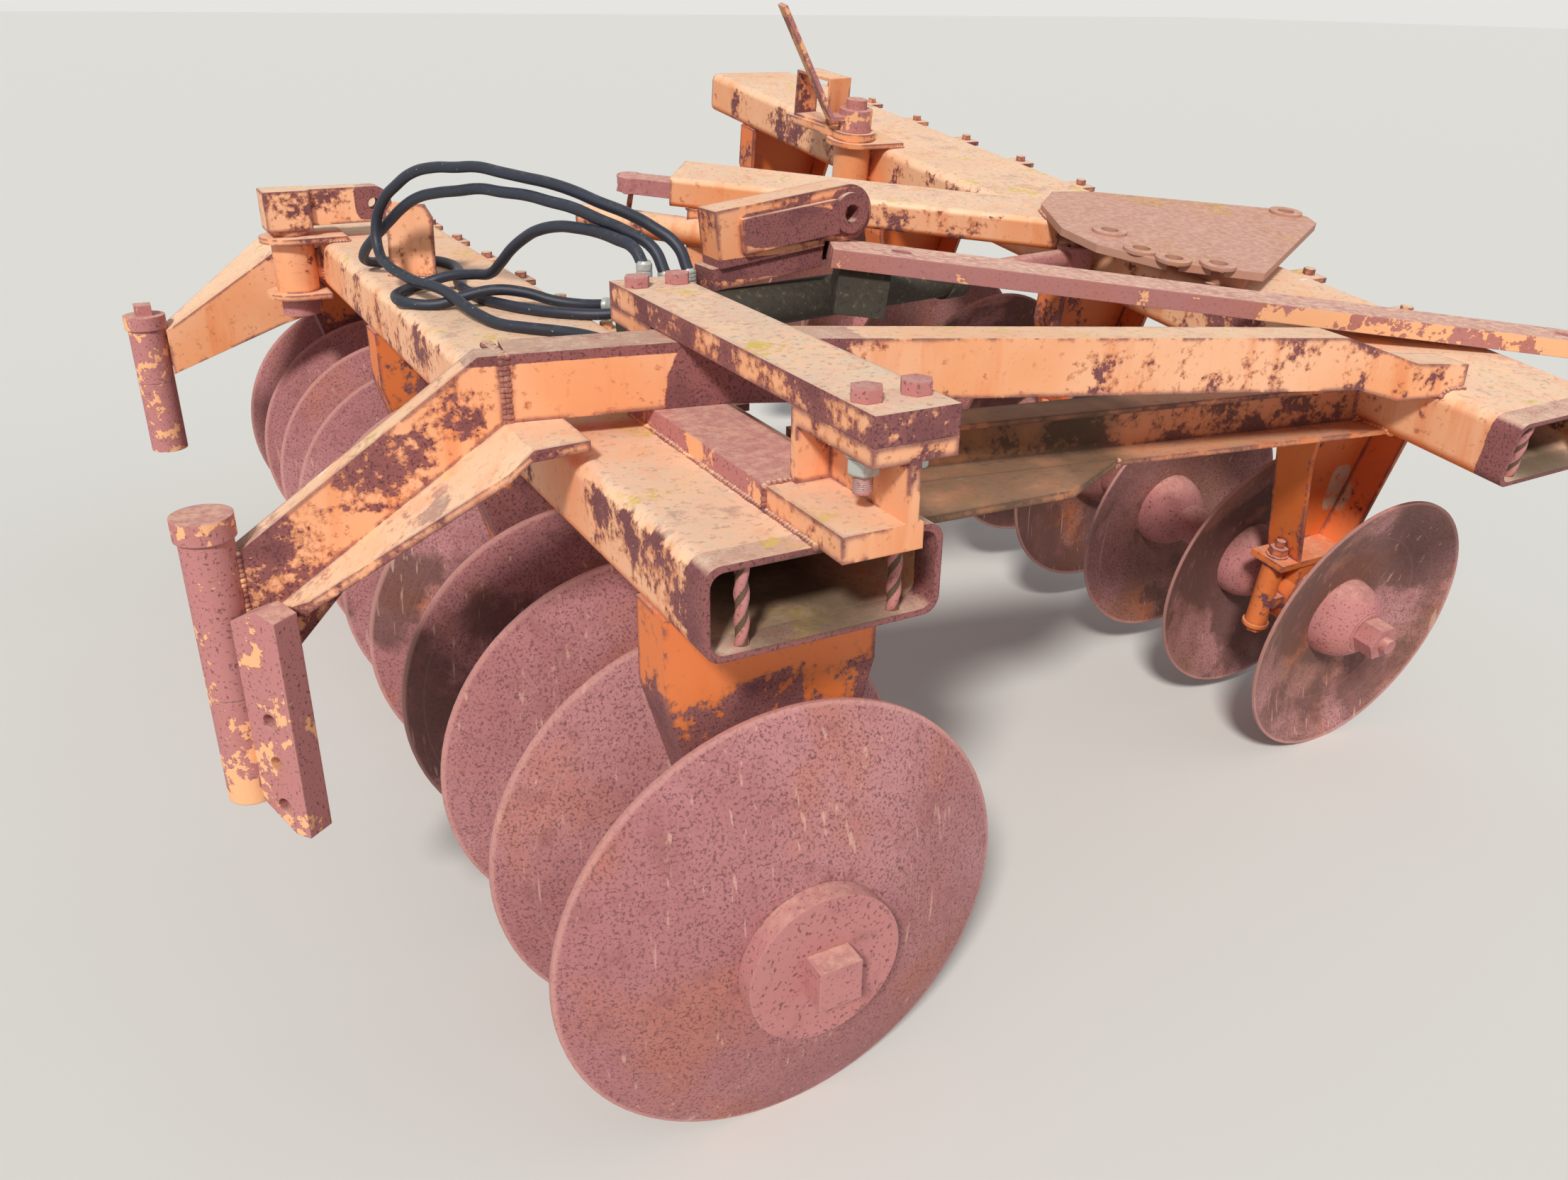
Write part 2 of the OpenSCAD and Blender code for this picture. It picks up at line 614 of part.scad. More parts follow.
// Drawbar plate with its ringed holes, bolted flat on the right beam, and the tongue welded under it
plate_t = 18;
plate_pad = 34;
plate_holes = [[372, 778], [-228, 768], [-256, 634], [-232, 558], [-158, 498]];
module at_hitch() at_right() translate([0, 0, beam_top + fit]) children();
module hitch_plate() color(rust) at_hitch() difference() {
    union() {
        translate([0, 0, plate_pad]) linear_extrude(height = plate_t) polygon([[-90, 425], [385, 690],
            [410, 740], [395, 812], [-13, 1076], [-120, 1100], [-230, 1010], [-318, 830], [-325, 700], [-260, 560]]);
        linear_extrude(height = plate_pad + 1) polygon([[-90, 470], [beam_w / 2 - 20, 610],
            [beam_w / 2 - 20, 900], [-13, 1040], [-beam_w / 2 + 20, 960], [-beam_w / 2 + 45, 520]]);
        for (p = plate_holes) translate([p[0], p[1], plate_pad + plate_t - 1]) cylinder(r = 40, h = 8);
    }
    for (p = plate_holes) translate([p[0], p[1], -1]) cylinder(r = 20, h = plate_pad + plate_t + 12);
}
tongue_w = 196;
tongue_h = 72;
tongue_wall = 10;
tongue_root = [-170, 1000];
tongue_turn = 52;
tongue_len = 960;
tongue_fall = 0.3;
module at_tongue() at_right()
    translate([tongue_root[0], tongue_root[1], beam_top + plate_pad + fit - tongue_h])
    rotate([0, 0, tongue_turn]) rotate([-tongue_fall, 0, 0]) children();
module tongue_beam() color(faded) difference() {
    at_tongue() box_tube(tongue_w, tongue_h, tongue_wall, 14, 0, tongue_len, 0);
    at_right() translate([-beam_w / 2 - fit, 800, 0]) cube([beam_w, 600, beam_top + fit]);
}
// Torn lug that lies in the tongue's mouth
module tongue_lug() color(rust) at_tongue() translate([38 - tongue_w / 2, tongue_len, tongue_wall]) {
    translate([0, -30, 0]) cube([60, 145, 40]);
    translate([30, 115, 0]) cylinder(r = 36, h = 40);
}
strut_end = [1932, 235, 917];
strut_turn = 64.9;
strut_rise = 6.8;
strut_len = 1390;
strut_w = 130;
strut_t = 35;
module at_strut() at_floor() translate(strut_end) rotate([0, 0, strut_turn]) rotate([strut_rise, 0, 0])
    translate([-strut_w / 2, -150, 0]) children();
module strut_bar() color(rust) at_strut() difference() {
    cube([strut_w, strut_len + 290, strut_t]);
    for (y = [150, strut_len + 150]) translate([strut_w / 2, y, -1]) cylinder(r = 20, h = strut_t + 2);
}
block_at = [615, 895, 1132];
block_turn = 3;
block_rise = 6.2;
block_len = 290;
block_base = 40;
block_h = 105;
module at_block() at_floor() translate(block_at) rotate([0, -block_rise, block_turn]) children();
module coupling_block() color(orange) difference() {
    at_block() union() {
        translate([-block_len, 0, 0]) cube([block_len, 70, block_h]);
        translate([-block_len - 14, 8, -block_base]) cube([block_len + 20, 70, block_base + 1]);
        translate([0, 70, block_h / 2]) rotate([90, 0, 0]) cylinder(r = block_h / 2, h = 70);
        translate([49 - block_len, -13, 20]) cube([210, 14, 64]);
        translate([0, 0, block_h / 2]) rotate([90, 0, 0]) cylinder(r = 38, h = 12);
    }
    at_block() translate([0, 80, block_h / 2]) rotate([90, 0, 0]) cylinder(r = 16, h = 100);
    at_strut() translate([-4, strut_len - 100, -saddle_h]) cube([strut_w + 8, 400, saddle_h + strut_t + fit]);
}
cylinder_r = 41;
module at_cylinder() at_floor() translate([128, 853.7, top_z + cylinder_r + 1]) rotate([0, 0, 11.6])
    rotate([0, 90.7, 0]) children();
barrel_len = 862;
port_h = 14;
port_places = [38, 84, 135];
rod_out = 440;
piston_back = 260;
module cylinder_barrel() color(dark) at_cylinder() difference() {
    union() {
        cylinder(r = cylinder_r, h = barrel_len);
        translate([0, 0, barrel_len - 50]) cylinder(r = cylinder_r + 6, h = 50);
        translate([-cylinder_r - port_h, -18, 16]) cube([cylinder_r + port_h, 36, 140]);
    }
    translate([0, 0, 20]) cylinder(r = cylinder_r - 8, h = barrel_len - 90);
    translate([0, 0, barrel_len - 100]) cylinder(r = 22 + pin_gap, h = 200);
}
module cylinder_rod() color(zinc) at_cylinder() {
    translate([0, 0, barrel_len - piston_back]) cylinder(r = 22, h = piston_back + rod_out - 60);
    translate([0, 0, barrel_len - piston_back]) cylinder(r = cylinder_r - 8 - pin_gap, h = 40);
    translate([24, 0, barrel_len + rod_out + 30 - 60]) rotate([0, -90, 0]) difference() {
        cylinder(r = 42, h = 48);
        translate([0, 0, -1]) cylinder(r = 20, h = 50);
    }
}
// Block that bears the strut bar's loose end on the barrel
saddle_h = 90;
module saddle() color(dark) difference() {
    at_strut() translate([20, strut_len + 170, -saddle_h]) cube([110, 100, saddle_h - fit]);
    at_cylinder() cylinder(r = cylinder_r + fit, h = barrel_len);
}
// Shelf and pin on the right beam that hold the rod's eye
module rod_shelf() color(rust) at_right() translate([-beam_w / 2 - 60, 866, 0]) {
    translate([-44, -46, 542]) cube([104 - fit, 92, 14]);
    translate([1, 3, 555]) cylinder(r = 12, h = 72);
}
// Hoses: routes in the machine frame, from the ports on the barrel to the couplings at the far ends
hose_r = 11;
hose_sides = 8;
hose_a_route = [[260, 880, 1105], [250, 900, 1145], [220, 940, 1175], [190, 990, 1195],
    [155, 1040, 1210], [125, 1095, 1225], [95, 1145, 1235], [65, 1200, 1240], [35, 1255, 1245],
    [5, 1310, 1250], [-25, 1360, 1245], [-55, 1415, 1240], [-85, 1470, 1225], [-110, 1520, 1195],
    [-130, 1565, 1160], [-145, 1590, 1110], [-150, 1570, 1055], [-145, 1515, 1035],
    [-130, 1455, 1025], [-115, 1395, 1020], [-95, 1335, 1020], [-80, 1275, 1015], [-70, 1215, 1005],
    [-55, 1155, 995], [-35, 1095, 990], [0, 1045, 990], [40, 1000, 990], [75, 950, 990],
    [95, 890, 990], [95, 830, 990], [90, 765, 990], [85, 705, 994]];
hose_b_route = [[210, 870, 1105], [200, 895, 1145], [170, 945, 1170], [140, 1005, 1185],
    [110, 1060, 1200], [85, 1120, 1205], [60, 1180, 1210], [30, 1240, 1210], [5, 1300, 1210],
    [-25, 1360, 1200], [-50, 1420, 1190], [-75, 1480, 1175], [-95, 1535, 1150], [-115, 1590, 1115],
    [-140, 1640, 1075], [-155, 1700, 1035], [-145, 1755, 1005], [-100, 1800, 990], [-40, 1805, 990],
    [10, 1770, 990], [35, 1710, 990], [35, 1650, 990], [20, 1585, 990], [0, 1520, 990],
    [-10, 1455, 990], [-10, 1390, 990], [-5, 1325, 990], [20, 1255, 990], [55, 1190, 990],
    [105, 1130, 990], [160, 1090, 990], [220, 1065, 994]];
hose_c_route = [[165, 862, 1125], [160, 890, 1150], [145, 940, 1160], [130, 1000, 1165],
    [110, 1055, 1165], [95, 1110, 1160], [75, 1170, 1145], [65, 1220, 1125], [50, 1270, 1095],
    [40, 1320, 1060], [30, 1370, 1030], [10, 1425, 1020], [-30, 1470, 1012], [-85, 1490, 995],
    [-135, 1460, 990], [-160, 1405, 990], [-150, 1350, 990], [-100, 1310, 990], [-45, 1295, 1005],
    [10, 1280, 1015], [65, 1255, 1010], [115, 1225, 995], [160, 1190, 990], [200, 1145, 994]];
function unit(v) = v / norm(v);
function heading(p, i) = unit(p[min(i + 1, len(p) - 1)] - p[max(i - 1, 0)]);
function square_to(u, t) = unit(u - (u * t) * t);
// Sideways direction of ring i, carried along the route without twist
function across(p, i) = square_to(i == 0 ? [1, 0.2, 0.1] : across(p, i - 1), heading(p, i));
function ring(p, i) = let (u = across(p, i), w = cross(heading(p, i), u))
    [for (k = [0 : hose_sides - 1]) let (a = 360 * k / hose_sides)
        p[i] + hose_r * (cos(a) * u + sin(a) * w)];
module hose(p) {
    n = hose_sides;
    rings = len(p);
    polyhedron(points = [for (i = [0 : rings - 1]) each ring(p, i)],
        faces = concat([[for (k = [0 : n - 1]) k]],
            [for (i = [0 : rings - 2], k = [0 : n - 1]) let (a = i * n + k, b = i * n + (k + 1) % n)
                each [[a, a + n, b + n], [a, b + n, b]]],
            [[for (k = [n - 1 : -1 : 0]) (rings - 1) * n + k]]));
}
module hose_a() color(rubber) at_floor() hose(hose_a_route);
module hose_b() color(rubber) at_floor() hose(hose_b_route);
module hose_c() color(rubber) at_floor() hose(hose_c_route);

// Ferrules that stand on the ports, and a coupling on each hose's far end
ferrule_r = 15;
coupling_len = 52;
module coupling(route) {
    end = route[len(route) - 1];
    way = unit(end - route[len(route) - 2]);
    translate(end - 8 * way) rotate([0, 90, atan2(way[1], way[0])]) cylinder(r = ferrule_r, h = coupling_len);
}
module hose_fittings() color(zinc) {
    for (k = [0 : 2]) at_cylinder() translate([-cylinder_r - port_h, 0, port_places[k]])
        rotate([0, -90, 0]) cylinder(r = ferrule_r, h = k == 0 ? 58 : 36);
    at_floor() for (route = [hose_a_route, hose_b_route, hose_c_route]) coupling(route);
}

// Loose pipe welded through a plate under the tongue, its far end torn open, with a stub on top
link_far = [490, 2050, 1020];
link_near = [771, 1458, 1020];
link_r = 34;
link_plate_y = 845;
link_plate_h = 150;
module link_rod() color(orange) {
    way = link_near - link_far;
    at_floor() translate(link_far) rotate([0, 90, atan2(way[1], way[0])]) difference() {
        union() {
            cylinder(r = link_r, h = norm(way));
            translate([0, 0, 150]) rotate([0, -75, 0]) cylinder(r = 7, h = link_r + 46);
        }
        translate([0, 0, -1]) cylinder(r = link_r - 7, h = 70);
    }
    at_tongue() translate([4 - tongue_w / 2, link_plate_y, -link_plate_h]) cube([12, 70, link_plate_h]);
}

left_beam();
wear_strip();
left_pivot_bracket();
left_pivot_pin();
left_eye_block();
hose_plate();
right_beam();
right_pivot_bracket();
right_pivot_pin();
lever_base();
swivel_lever();
cross_channel();
lower_channel();
under_plate();
near_pedestal();
far_pedestal();
cap_bar();
clamp_bolts();
near_arm();
near_sleeve();
near_leg();
near_strap();
far_arm();
far_sleeve();
far_leg();
left_hangers();
left_bearings();
left_axle();
left_discs();
left_spools();
left_ends();
right_hangers();
right_bearings();
right_axle();
right_discs();
right_spools();
right_ends();
tongue_beam();
tongue_lug();
hitch_plate();
strut_bar();
coupling_block();
cylinder_barrel();
cylinder_rod();
rod_shelf();
saddle();
link_rod();
hose_a();
hose_b();
hose_c();
hose_fittings();
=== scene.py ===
import json
import math

import bmesh
import bpy
from bpy.props import FloatProperty, FloatVectorProperty, PointerProperty
from mathutils import Matrix, Vector, noise
from mathutils.bvhtree import BVHTree


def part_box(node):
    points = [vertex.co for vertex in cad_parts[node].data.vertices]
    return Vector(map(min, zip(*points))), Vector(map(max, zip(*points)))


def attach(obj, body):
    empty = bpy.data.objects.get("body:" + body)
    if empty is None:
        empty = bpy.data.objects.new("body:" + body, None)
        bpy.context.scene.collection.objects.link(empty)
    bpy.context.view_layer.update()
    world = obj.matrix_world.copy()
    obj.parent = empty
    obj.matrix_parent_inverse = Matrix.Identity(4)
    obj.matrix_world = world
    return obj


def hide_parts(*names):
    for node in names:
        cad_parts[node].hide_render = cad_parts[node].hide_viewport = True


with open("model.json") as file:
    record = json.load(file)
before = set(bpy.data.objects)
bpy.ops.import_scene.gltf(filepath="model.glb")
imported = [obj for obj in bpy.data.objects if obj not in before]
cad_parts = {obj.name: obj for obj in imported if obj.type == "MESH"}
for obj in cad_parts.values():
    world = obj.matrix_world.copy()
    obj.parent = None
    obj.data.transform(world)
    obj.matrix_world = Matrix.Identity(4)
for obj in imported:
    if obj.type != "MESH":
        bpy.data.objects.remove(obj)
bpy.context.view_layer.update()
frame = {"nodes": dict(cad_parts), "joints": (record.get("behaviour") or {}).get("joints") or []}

bl_info = {
    "name": "Weathered disc harrow",
    "version": (1, 0, 0),
    "blender": (4, 5, 0),
    "location": "View3D > Sidebar > Harrow",
    "description": "Dresses the solids of a worn offset disc harrow",
    "category": "Add Mesh",
}

JOINTS = {joint["name"]: joint for joint in frame["joints"]}
NODES = frame["nodes"]
MM = 0.001

# The machine frame: x across from the left gang, y from its near disc, z from the floor, in millimetres
LEFT_AXIS = Vector(JOINTS["left_gang_spin"]["pos_m"])
GANG_MIDDLE = 1.365
MACHINE = Matrix.Translation((LEFT_AXIS.x, LEFT_AXIS.y - GANG_MIDDLE, 0)) @ Matrix.Scale(MM, 4)

# The right gang's frame: u across, n along its axle away from the camera, v up
RIGHT_N = Vector(JOINTS["right_gang_spin"]["axis"]).normalized()
RIGHT_U = Vector((RIGHT_N.y, -RIGHT_N.x, 0)).normalized()
RIGHT_V = RIGHT_U.cross(RIGHT_N)
RIGHT_AXES = Matrix((RIGHT_U, RIGHT_N, RIGHT_V)).transposed().to_4x4()
RIGHT_START = Vector(JOINTS["right_gang_spin"]["pos_m"]) - GANG_MIDDLE * RIGHT_N
RIGHT = Matrix.Translation(RIGHT_START) @ RIGHT_AXES @ Matrix.Scale(MM, 4)
LEFT_START = LEFT_AXIS - Vector((0, GANG_MIDDLE, 0))
LEFT = Matrix.Translation(LEFT_START) @ Matrix.Scale(MM, 4)

# Height of the left beam's top in the machine frame
TOP_Z = 978.5

# Small marks on the finishes, which keep their colours
PRIMER = "#C9BCA6"
GREY_DIRT = "#A58E7A"
DROPPINGS = "#F0ECE4"
ROSY_RUST = "#BD8586"
EARTH_STAIN = "#5A3B33"
MOSS_SHADE = "#40392E"
MOSS_DRY = "#6A604C"
MOSS_DARK = "#1F1E1A"
ZINC_BLOOM = "#8E918D"
ZINC_DIRT = "#6B6660"
RUBBER_FADED = "#292E40"
RUBBER_LIME = "#A9ABB0"
# Dust on the hoses' backs, also painted as their sheen
RUBBER_DUST_AND_SHEEN = "#6C7079"

# A noise texture's patches are this far apart, in its own units
NOISE_PATCH = 0.6


def at_machine(x, y, z):
    return MACHINE @ Vector((x, y, z))


def linear(code):
    """sRGB hex to linear red, green and blue."""
    parts = [int(code[i:i + 2], 16) / 255 for i in (1, 3, 5)]
    return tuple(p / 12.92 if p <= 0.04045 else ((p + 0.055) / 1.055) ** 2.4 for p in parts)


def colour_prop(name, code, description):
    return FloatVectorProperty(
        name=name, description=description, subtype="COLOR", size=3, min=0, max=1, default=linear(code))


class HarrowColours(bpy.types.PropertyGroup):
    faded: colour_prop("Faded paint", "#F0B182", "Orange enamel bleached by the sun")
    deep: colour_prop("Sheltered paint", "#DD6C24", "Orange enamel that the sun doesn't reach")
    chalk: colour_prop("Chalked paint", "#F7CDA8", "Enamel gone chalky on its sunny edges")
    rust: colour_prop("Rust", "#8D5654", "Dry purple brown rust where enamel has gone")
    bare: colour_prop("Bare iron", "#B97A78", "Even pinkish rust of iron that was never painted")
    old_rust: colour_prop("Old rust", "#5E3439", "Dark pits in the rust")
    fresh_rust: colour_prop("Orange rust", "#B4683F", "Thin orange rust")
    pink_rust: colour_prop("Pink rust", "#D09A90", "Rust bleached pink on level faces")
    dust: colour_prop("Dust", "#EDC6AC", "Tan dust on level faces")
    lichen: colour_prop("Cream lichen", "#E0CBB0", "Dry cream lichen")
    yellow: colour_prop("Yellow lichen", "#D6B93A", "Lichen in the sun")
    # Grime: earth and moss in the hollows, and inside the beams' mouths also painted shade
    grime_and_shade: colour_prop("Grime", "#5B4A34", "Earth and moss that has settled in the hollows")
    # Mossy steel: the barrel's own colour, and painted shade on the saddle
    moss_and_shade: colour_prop("Mossy steel", "#3B352C", "Dark mossy enamel")
    zinc: colour_prop("Dull zinc", "#B9BBB6", "Galvanised steel after rain")
    rubber: colour_prop("Hose rubber", "#1F2330", "Blue black hose cover")


class HarrowSizes(bpy.types.PropertyGroup):
    hose: FloatProperty(name="Hose", description="Outer diameter of a hose",
                        default=0.022, min=0.01, max=0.03, unit="LENGTH", subtype="DISTANCE")
    weld_width: FloatProperty(name="Weld bead", description="Radius of a weld bead",
                              default=0.0055, min=0.002, max=0.01, unit="LENGTH", subtype="DISTANCE")
    weld_pitch: FloatProperty(name="Weld ripple", description="Distance between the ripples of a bead",
                              default=0.0075, min=0.003, max=0.02, unit="LENGTH", subtype="DISTANCE")


class HarrowStage(bpy.types.PropertyGroup):
    lens: FloatProperty(name="Lens", description="Focal length that matches the view",
                        default=29.16, min=15, max=80, unit="CAMERA")
    azimuth: FloatProperty(name="Azimuth", description="Turn of the view to the right of +Y",
                           default=math.radians(28.78), subtype="ANGLE")
    pitch: FloatProperty(name="Pitch", description="How far the view looks down",
                         default=math.radians(25.21), subtype="ANGLE")
    roll: FloatProperty(name="Roll", description="Turn of the view about its own axis",
                        default=math.radians(-0.80), subtype="ANGLE")
    sun: FloatProperty(name="Key light", description="Strength of the broad key light",
                       default=3.0, min=0)


def add_node(tree, kind, sockets=None, **settings):
    """Adds a node, sets its properties, and sets its sockets or links them to what feeds them."""
    made = tree.nodes.new(kind)
    for key, value in settings.items():
        setattr(made, key, value)
    for key, value in (sockets or {}).items():
        socket = made.inputs[key]
        if isinstance(value, bpy.types.NodeSocket):
            tree.links.new(value, socket)
        else:
            socket.default_value = value
    return made


class Paint:
    """A material under construction: its tree, the coordinates it reads and its layers so far.

    A mask is the product of its terms. A term is a number, a socket, or a soft step from 0 to 1 written
    as (value, low, high), with two more numbers where it runs from one of them to the other instead.
    """

    def __init__(self, name, colour, roughness):
        self.material = bpy.data.materials.new(name)
        self.material.use_nodes = True
        self.tree = self.material.node_tree
        self.tree.nodes.clear()
        place = add_node(self.tree, "ShaderNodeTexCoord")
        self.where = place.outputs["Object"]
        split = add_node(self.tree, "ShaderNodeSeparateXYZ", {0: place.outputs["Normal"]})
        self.up = split.outputs["Z"]
        self.colour = (*colour, 1)
        self.roughness = roughness
        # Masks that end in a height in millimetres
        self.relief = []

    def mask(self, *terms):
        product = None
        for term in terms:
            if isinstance(term, tuple):
                value, low, high, *results = term
                to_low, to_high = results or (0.0, 1.0)
                term = add_node(self.tree, "ShaderNodeMapRange", {
                    "Value": value, "From Min": low, "From Max": high, "To Min": to_low, "To Max": to_high,
                }, interpolation_type="SMOOTHSTEP").outputs[0]
            product = term if product is None else add_node(
                self.tree, "ShaderNodeMath", {0: product, 1: term}, operation="MULTIPLY").outputs[0]
        return product

    def total(self, masks):
        """The sum of masks, each given as its terms."""
        whole = None
        for terms in masks:
            part = self.mask(*terms)
            whole = part if whole is None else add_node(
                self.tree, "ShaderNodeMath", {0: whole, 1: part}, operation="ADD").outputs[0]
        return whole

    def lay(self, colour, *terms):
        """Lays a colour over what is there, where the mask is 1."""
        self.colour = add_node(self.tree, "ShaderNodeMix", {
            0: self.mask(*terms), 6: self.colour, 7: (*colour, 1)}, data_type="RGBA").outputs[2]

    def roughen(self, roughness, *terms):
        self.roughness = add_node(self.tree, "ShaderNodeMix", {
            0: self.mask(*terms), 2: self.roughness, 3: roughness}).outputs[0]

    def patches(self, size_mm, detail=2.0, rough=0.55, seed=0.0, stretch=(1, 1, 1)):
        """Cloudy patches about size_mm across, 0 to 1 round 0.5. The seed moves them."""
        moved = add_node(self.tree, "ShaderNodeMapping", {
            "Vector": self.where, "Scale": stretch, "Location": (seed, 2 * seed, 3 * seed)})
        return add_node(self.tree, "ShaderNodeTexNoise", {
            "Vector": moved.outputs[0], "Scale": NOISE_PATCH / (size_mm * MM), "Detail": detail,
            "Roughness": rough}).outputs["Fac"]

    def near(self, place):
        """1 inside a rounded box, given as its frame, its middle and its half sizes in millimetres."""
        frame_of, middle, half = place
        local = add_node(self.tree, "ShaderNodeMapping", {
            "Vector": self.where, "Location": tuple(frame_of @ Vector(middle)),
            "Rotation": tuple(frame_of.decompose()[1].to_euler()), "Scale": tuple(h * MM for h in half),
        }, vector_type="TEXTURE").outputs[0]
        # The length of the squares stays under 1 further into the corners than a ball would
        squared = add_node(self.tree, "ShaderNodeVectorMath", {0: local, 1: local}, operation="MULTIPLY")
        length = add_node(self.tree, "ShaderNodeVectorMath", {0: squared.outputs[0]}, operation="LENGTH")
        return self.mask((length.outputs["Value"], 1.0, 0.7))

    def edges(self, radius_mm):
        """1 along the edges of the solid, 0 on its flats."""
        soft = add_node(self.tree, "ShaderNodeBevel", {"Radius": radius_mm * MM}, samples=6)
        flat = add_node(self.tree, "ShaderNodeNewGeometry")
        dot = add_node(self.tree, "ShaderNodeVectorMath", {
            0: soft.outputs[0], 1: flat.outputs["Normal"]}, operation="DOT_PRODUCT")
        return self.mask((dot.outputs["Value"], 0.995, 0.86))

    def finish(self, metallic=0.0, round_mm=3.0):
        """Rounds off the solid's edges, adds the relief and ends the tree in its shader."""
        normal = add_node(self.tree, "ShaderNodeBevel", {"Radius": round_mm * MM}, samples=4).outputs[0]
        if self.relief:
            normal = add_node(self.tree, "ShaderNodeBump", {
                "Height": self.total(self.relief), "Distance": MM, "Strength": 1.0,
                "Normal": normal}).outputs[0]
        shader = add_node(self.tree, "ShaderNodeBsdfPrincipled", {
            "Base Color": self.colour, "Roughness": self.roughness, "Metallic": metallic, "Normal": normal})
        add_node(self.tree, "ShaderNodeOutputMaterial", {0: shader.outputs[0]})
        return self.material


def weathered_enamel(name, colours, cover, edge, dusty, sheltered=0.0, worn=(), grimy=(), primed=()):
    """Sprayed orange enamel, years in the sun: chalky, and chipped to rust along its edges.

    cover is how much of it is rust, edge how much more is along the edges, dusty how thick dust and
    lichen lie on level faces, and sheltered how deep the orange still is on upright ones.
    """
    p = Paint(name, colours.faded, 0.62)
    large = p.patches(260, 3.0)
    middle = p.patches(60, 5.0, seed=3.1)
    fine = p.patches(9, 4.0, rough=0.65, seed=7.7)
    grit = p.patches(2.5, seed=1.3)
    streak = p.patches(30, 4.0, seed=5.2, stretch=(1, 1, 0.14))
    p.lay(colours.chalk, (large, 0.3, 0.55))
    p.lay(colours.deep, (streak, 0.5, 0.72, 0, 0.4))
    p.lay(colours.deep, (p.up, 0.5, -0.8, sheltered, 1))
    p.lay(colours.fresh_rust, (fine, 0.57, 0.7, 0, 0.5))
    for place in primed:
        p.lay(linear(PRIMER), p.near(place), (fine, 0.3, 0.5))
    # Rust where the enamel has gone: more at the edges, in flakes of all sizes
    rim = p.mask(p.edges(16), (middle, 0.36, 0.58, 0.25, 1))
    gone = p.total([
        (fine, 0.3), (middle, 0.42), (large, 0.34), (rim, edge), (streak, (p.up, 0.6, 0.2), 0.1),
        *((p.near(place), weight) for place, weight in worn)])
    start = 0.72 - cover
    bare = p.mask((gone, start, start + 0.018))
    level = p.mask((p.up, 0.55, 0.95))
    p.lay(colours.fresh_rust, (gone, start - 0.035, start), 0.65)
    p.lay(colours.rust, bare)
    p.lay(colours.pink_rust, bare, level, (large, 0.4, 0.6, 0.2, 0.8))
    p.lay(colours.old_rust, bare, (grit, 0.5, 0.68))
    p.lay(colours.old_rust, bare, (middle, 0.5, 0.65, 0, 0.5))
    # Dust, lichen and droppings on the level faces, earth in the hollows, which inside the beams' mouths is
    # also painted shade
    speck = p.patches(14, 6.0, rough=0.75, seed=11.0)
    lie = p.mask(level, dusty)
    p.lay(colours.dust, lie, (middle, 0.3, 0.6, 0.2, 0.9))
    p.lay(colours.lichen, lie, (speck, 0.5, 0.6, 0, 0.75))
    p.lay(linear(GREY_DIRT), lie, (p.patches(7, 3.0, seed=31.0), 0.58, 0.66, 0, 0.6))
    gold = p.mask((p.patches(70, 3.0, seed=21.0), 0.6, 0.66), (speck, 0.44, 0.54))
    p.lay(colours.yellow, lie, gold, 0.8)
    p.lay(linear(DROPPINGS), lie, (p.patches(26, 1.5, seed=41.0), 0.745, 0.76))
    # Dark earth in the given boxes; inside the beams' mouths it is also painted shade of their dark interiors
    for place, weight in grimy:
        p.lay(colours.grime_and_shade, p.near(place), (middle, 0.25, 0.6, 0.6 * weight, weight))
    p.roughen(0.92, bare)
    p.roughen(0.95, lie)
    p.relief += [(bare, -0.35), (bare, fine, grit, 1.1), (lie, speck, 0.8), (grit, 0.12)]
    return p.finish()


def rusty_iron(name, colours, base, pits, dusty, painted=0.0, lichened=0.1, kept=None):
    """Rolled or cast iron under dry rust: pinkish brown, pitted, dusty where it lies level.

    painted is how much enamel is left in flakes, and kept is a place with more of it.
    """
    p = Paint(name, base, 0.9)
    large = p.patches(180, 3.0, seed=2.0)
    middle = p.patches(34, 5.0, seed=4.4)
    grit = p.patches(3.2, 3.0, seed=6.1)
    fine = p.patches(9, 4.0, rough=0.65, seed=9.9)
    p.lay(colours.fresh_rust, (large, 0.46, 0.68, 0, 0.45))
    p.lay(colours.rust, (middle, 0.5, 0.75, 0, 0.7 * pits))
    p.lay(colours.old_rust, (grit, 0.57, 0.67, 0, pits))
    if painted:
        left = [(middle, 0.7), (fine, 0.35), (large, 0.25)]
        if kept:
            left.append((p.near(kept), 0.16))
        start = 0.8 - 0.2 * painted
        flake = p.mask((p.total(left), start, start + 0.01), (p.up, 0.5, 0.9, 1, 0.25))
        p.lay(colours.faded, flake)
        p.relief.append((flake, 0.4))
    lie = p.mask((p.up, 0.5, 0.95), dusty)
    p.lay(colours.pink_rust, lie, (middle, 0.3, 0.55, 0.3, 1))
    p.lay(colours.dust, lie, (fine, 0.34, 0.7))
    gold = p.mask((large, 0.5, 0.62), (p.patches(10, 5.0, rough=0.7, seed=13.0), 0.5, 0.6))
    p.lay(colours.yellow, lie, gold, lichened)
    p.lay(colours.pink_rust, p.edges(5), 0.3)
    p.relief += [(middle, 0.9), (grit, 0.5)]
    return p.finish()


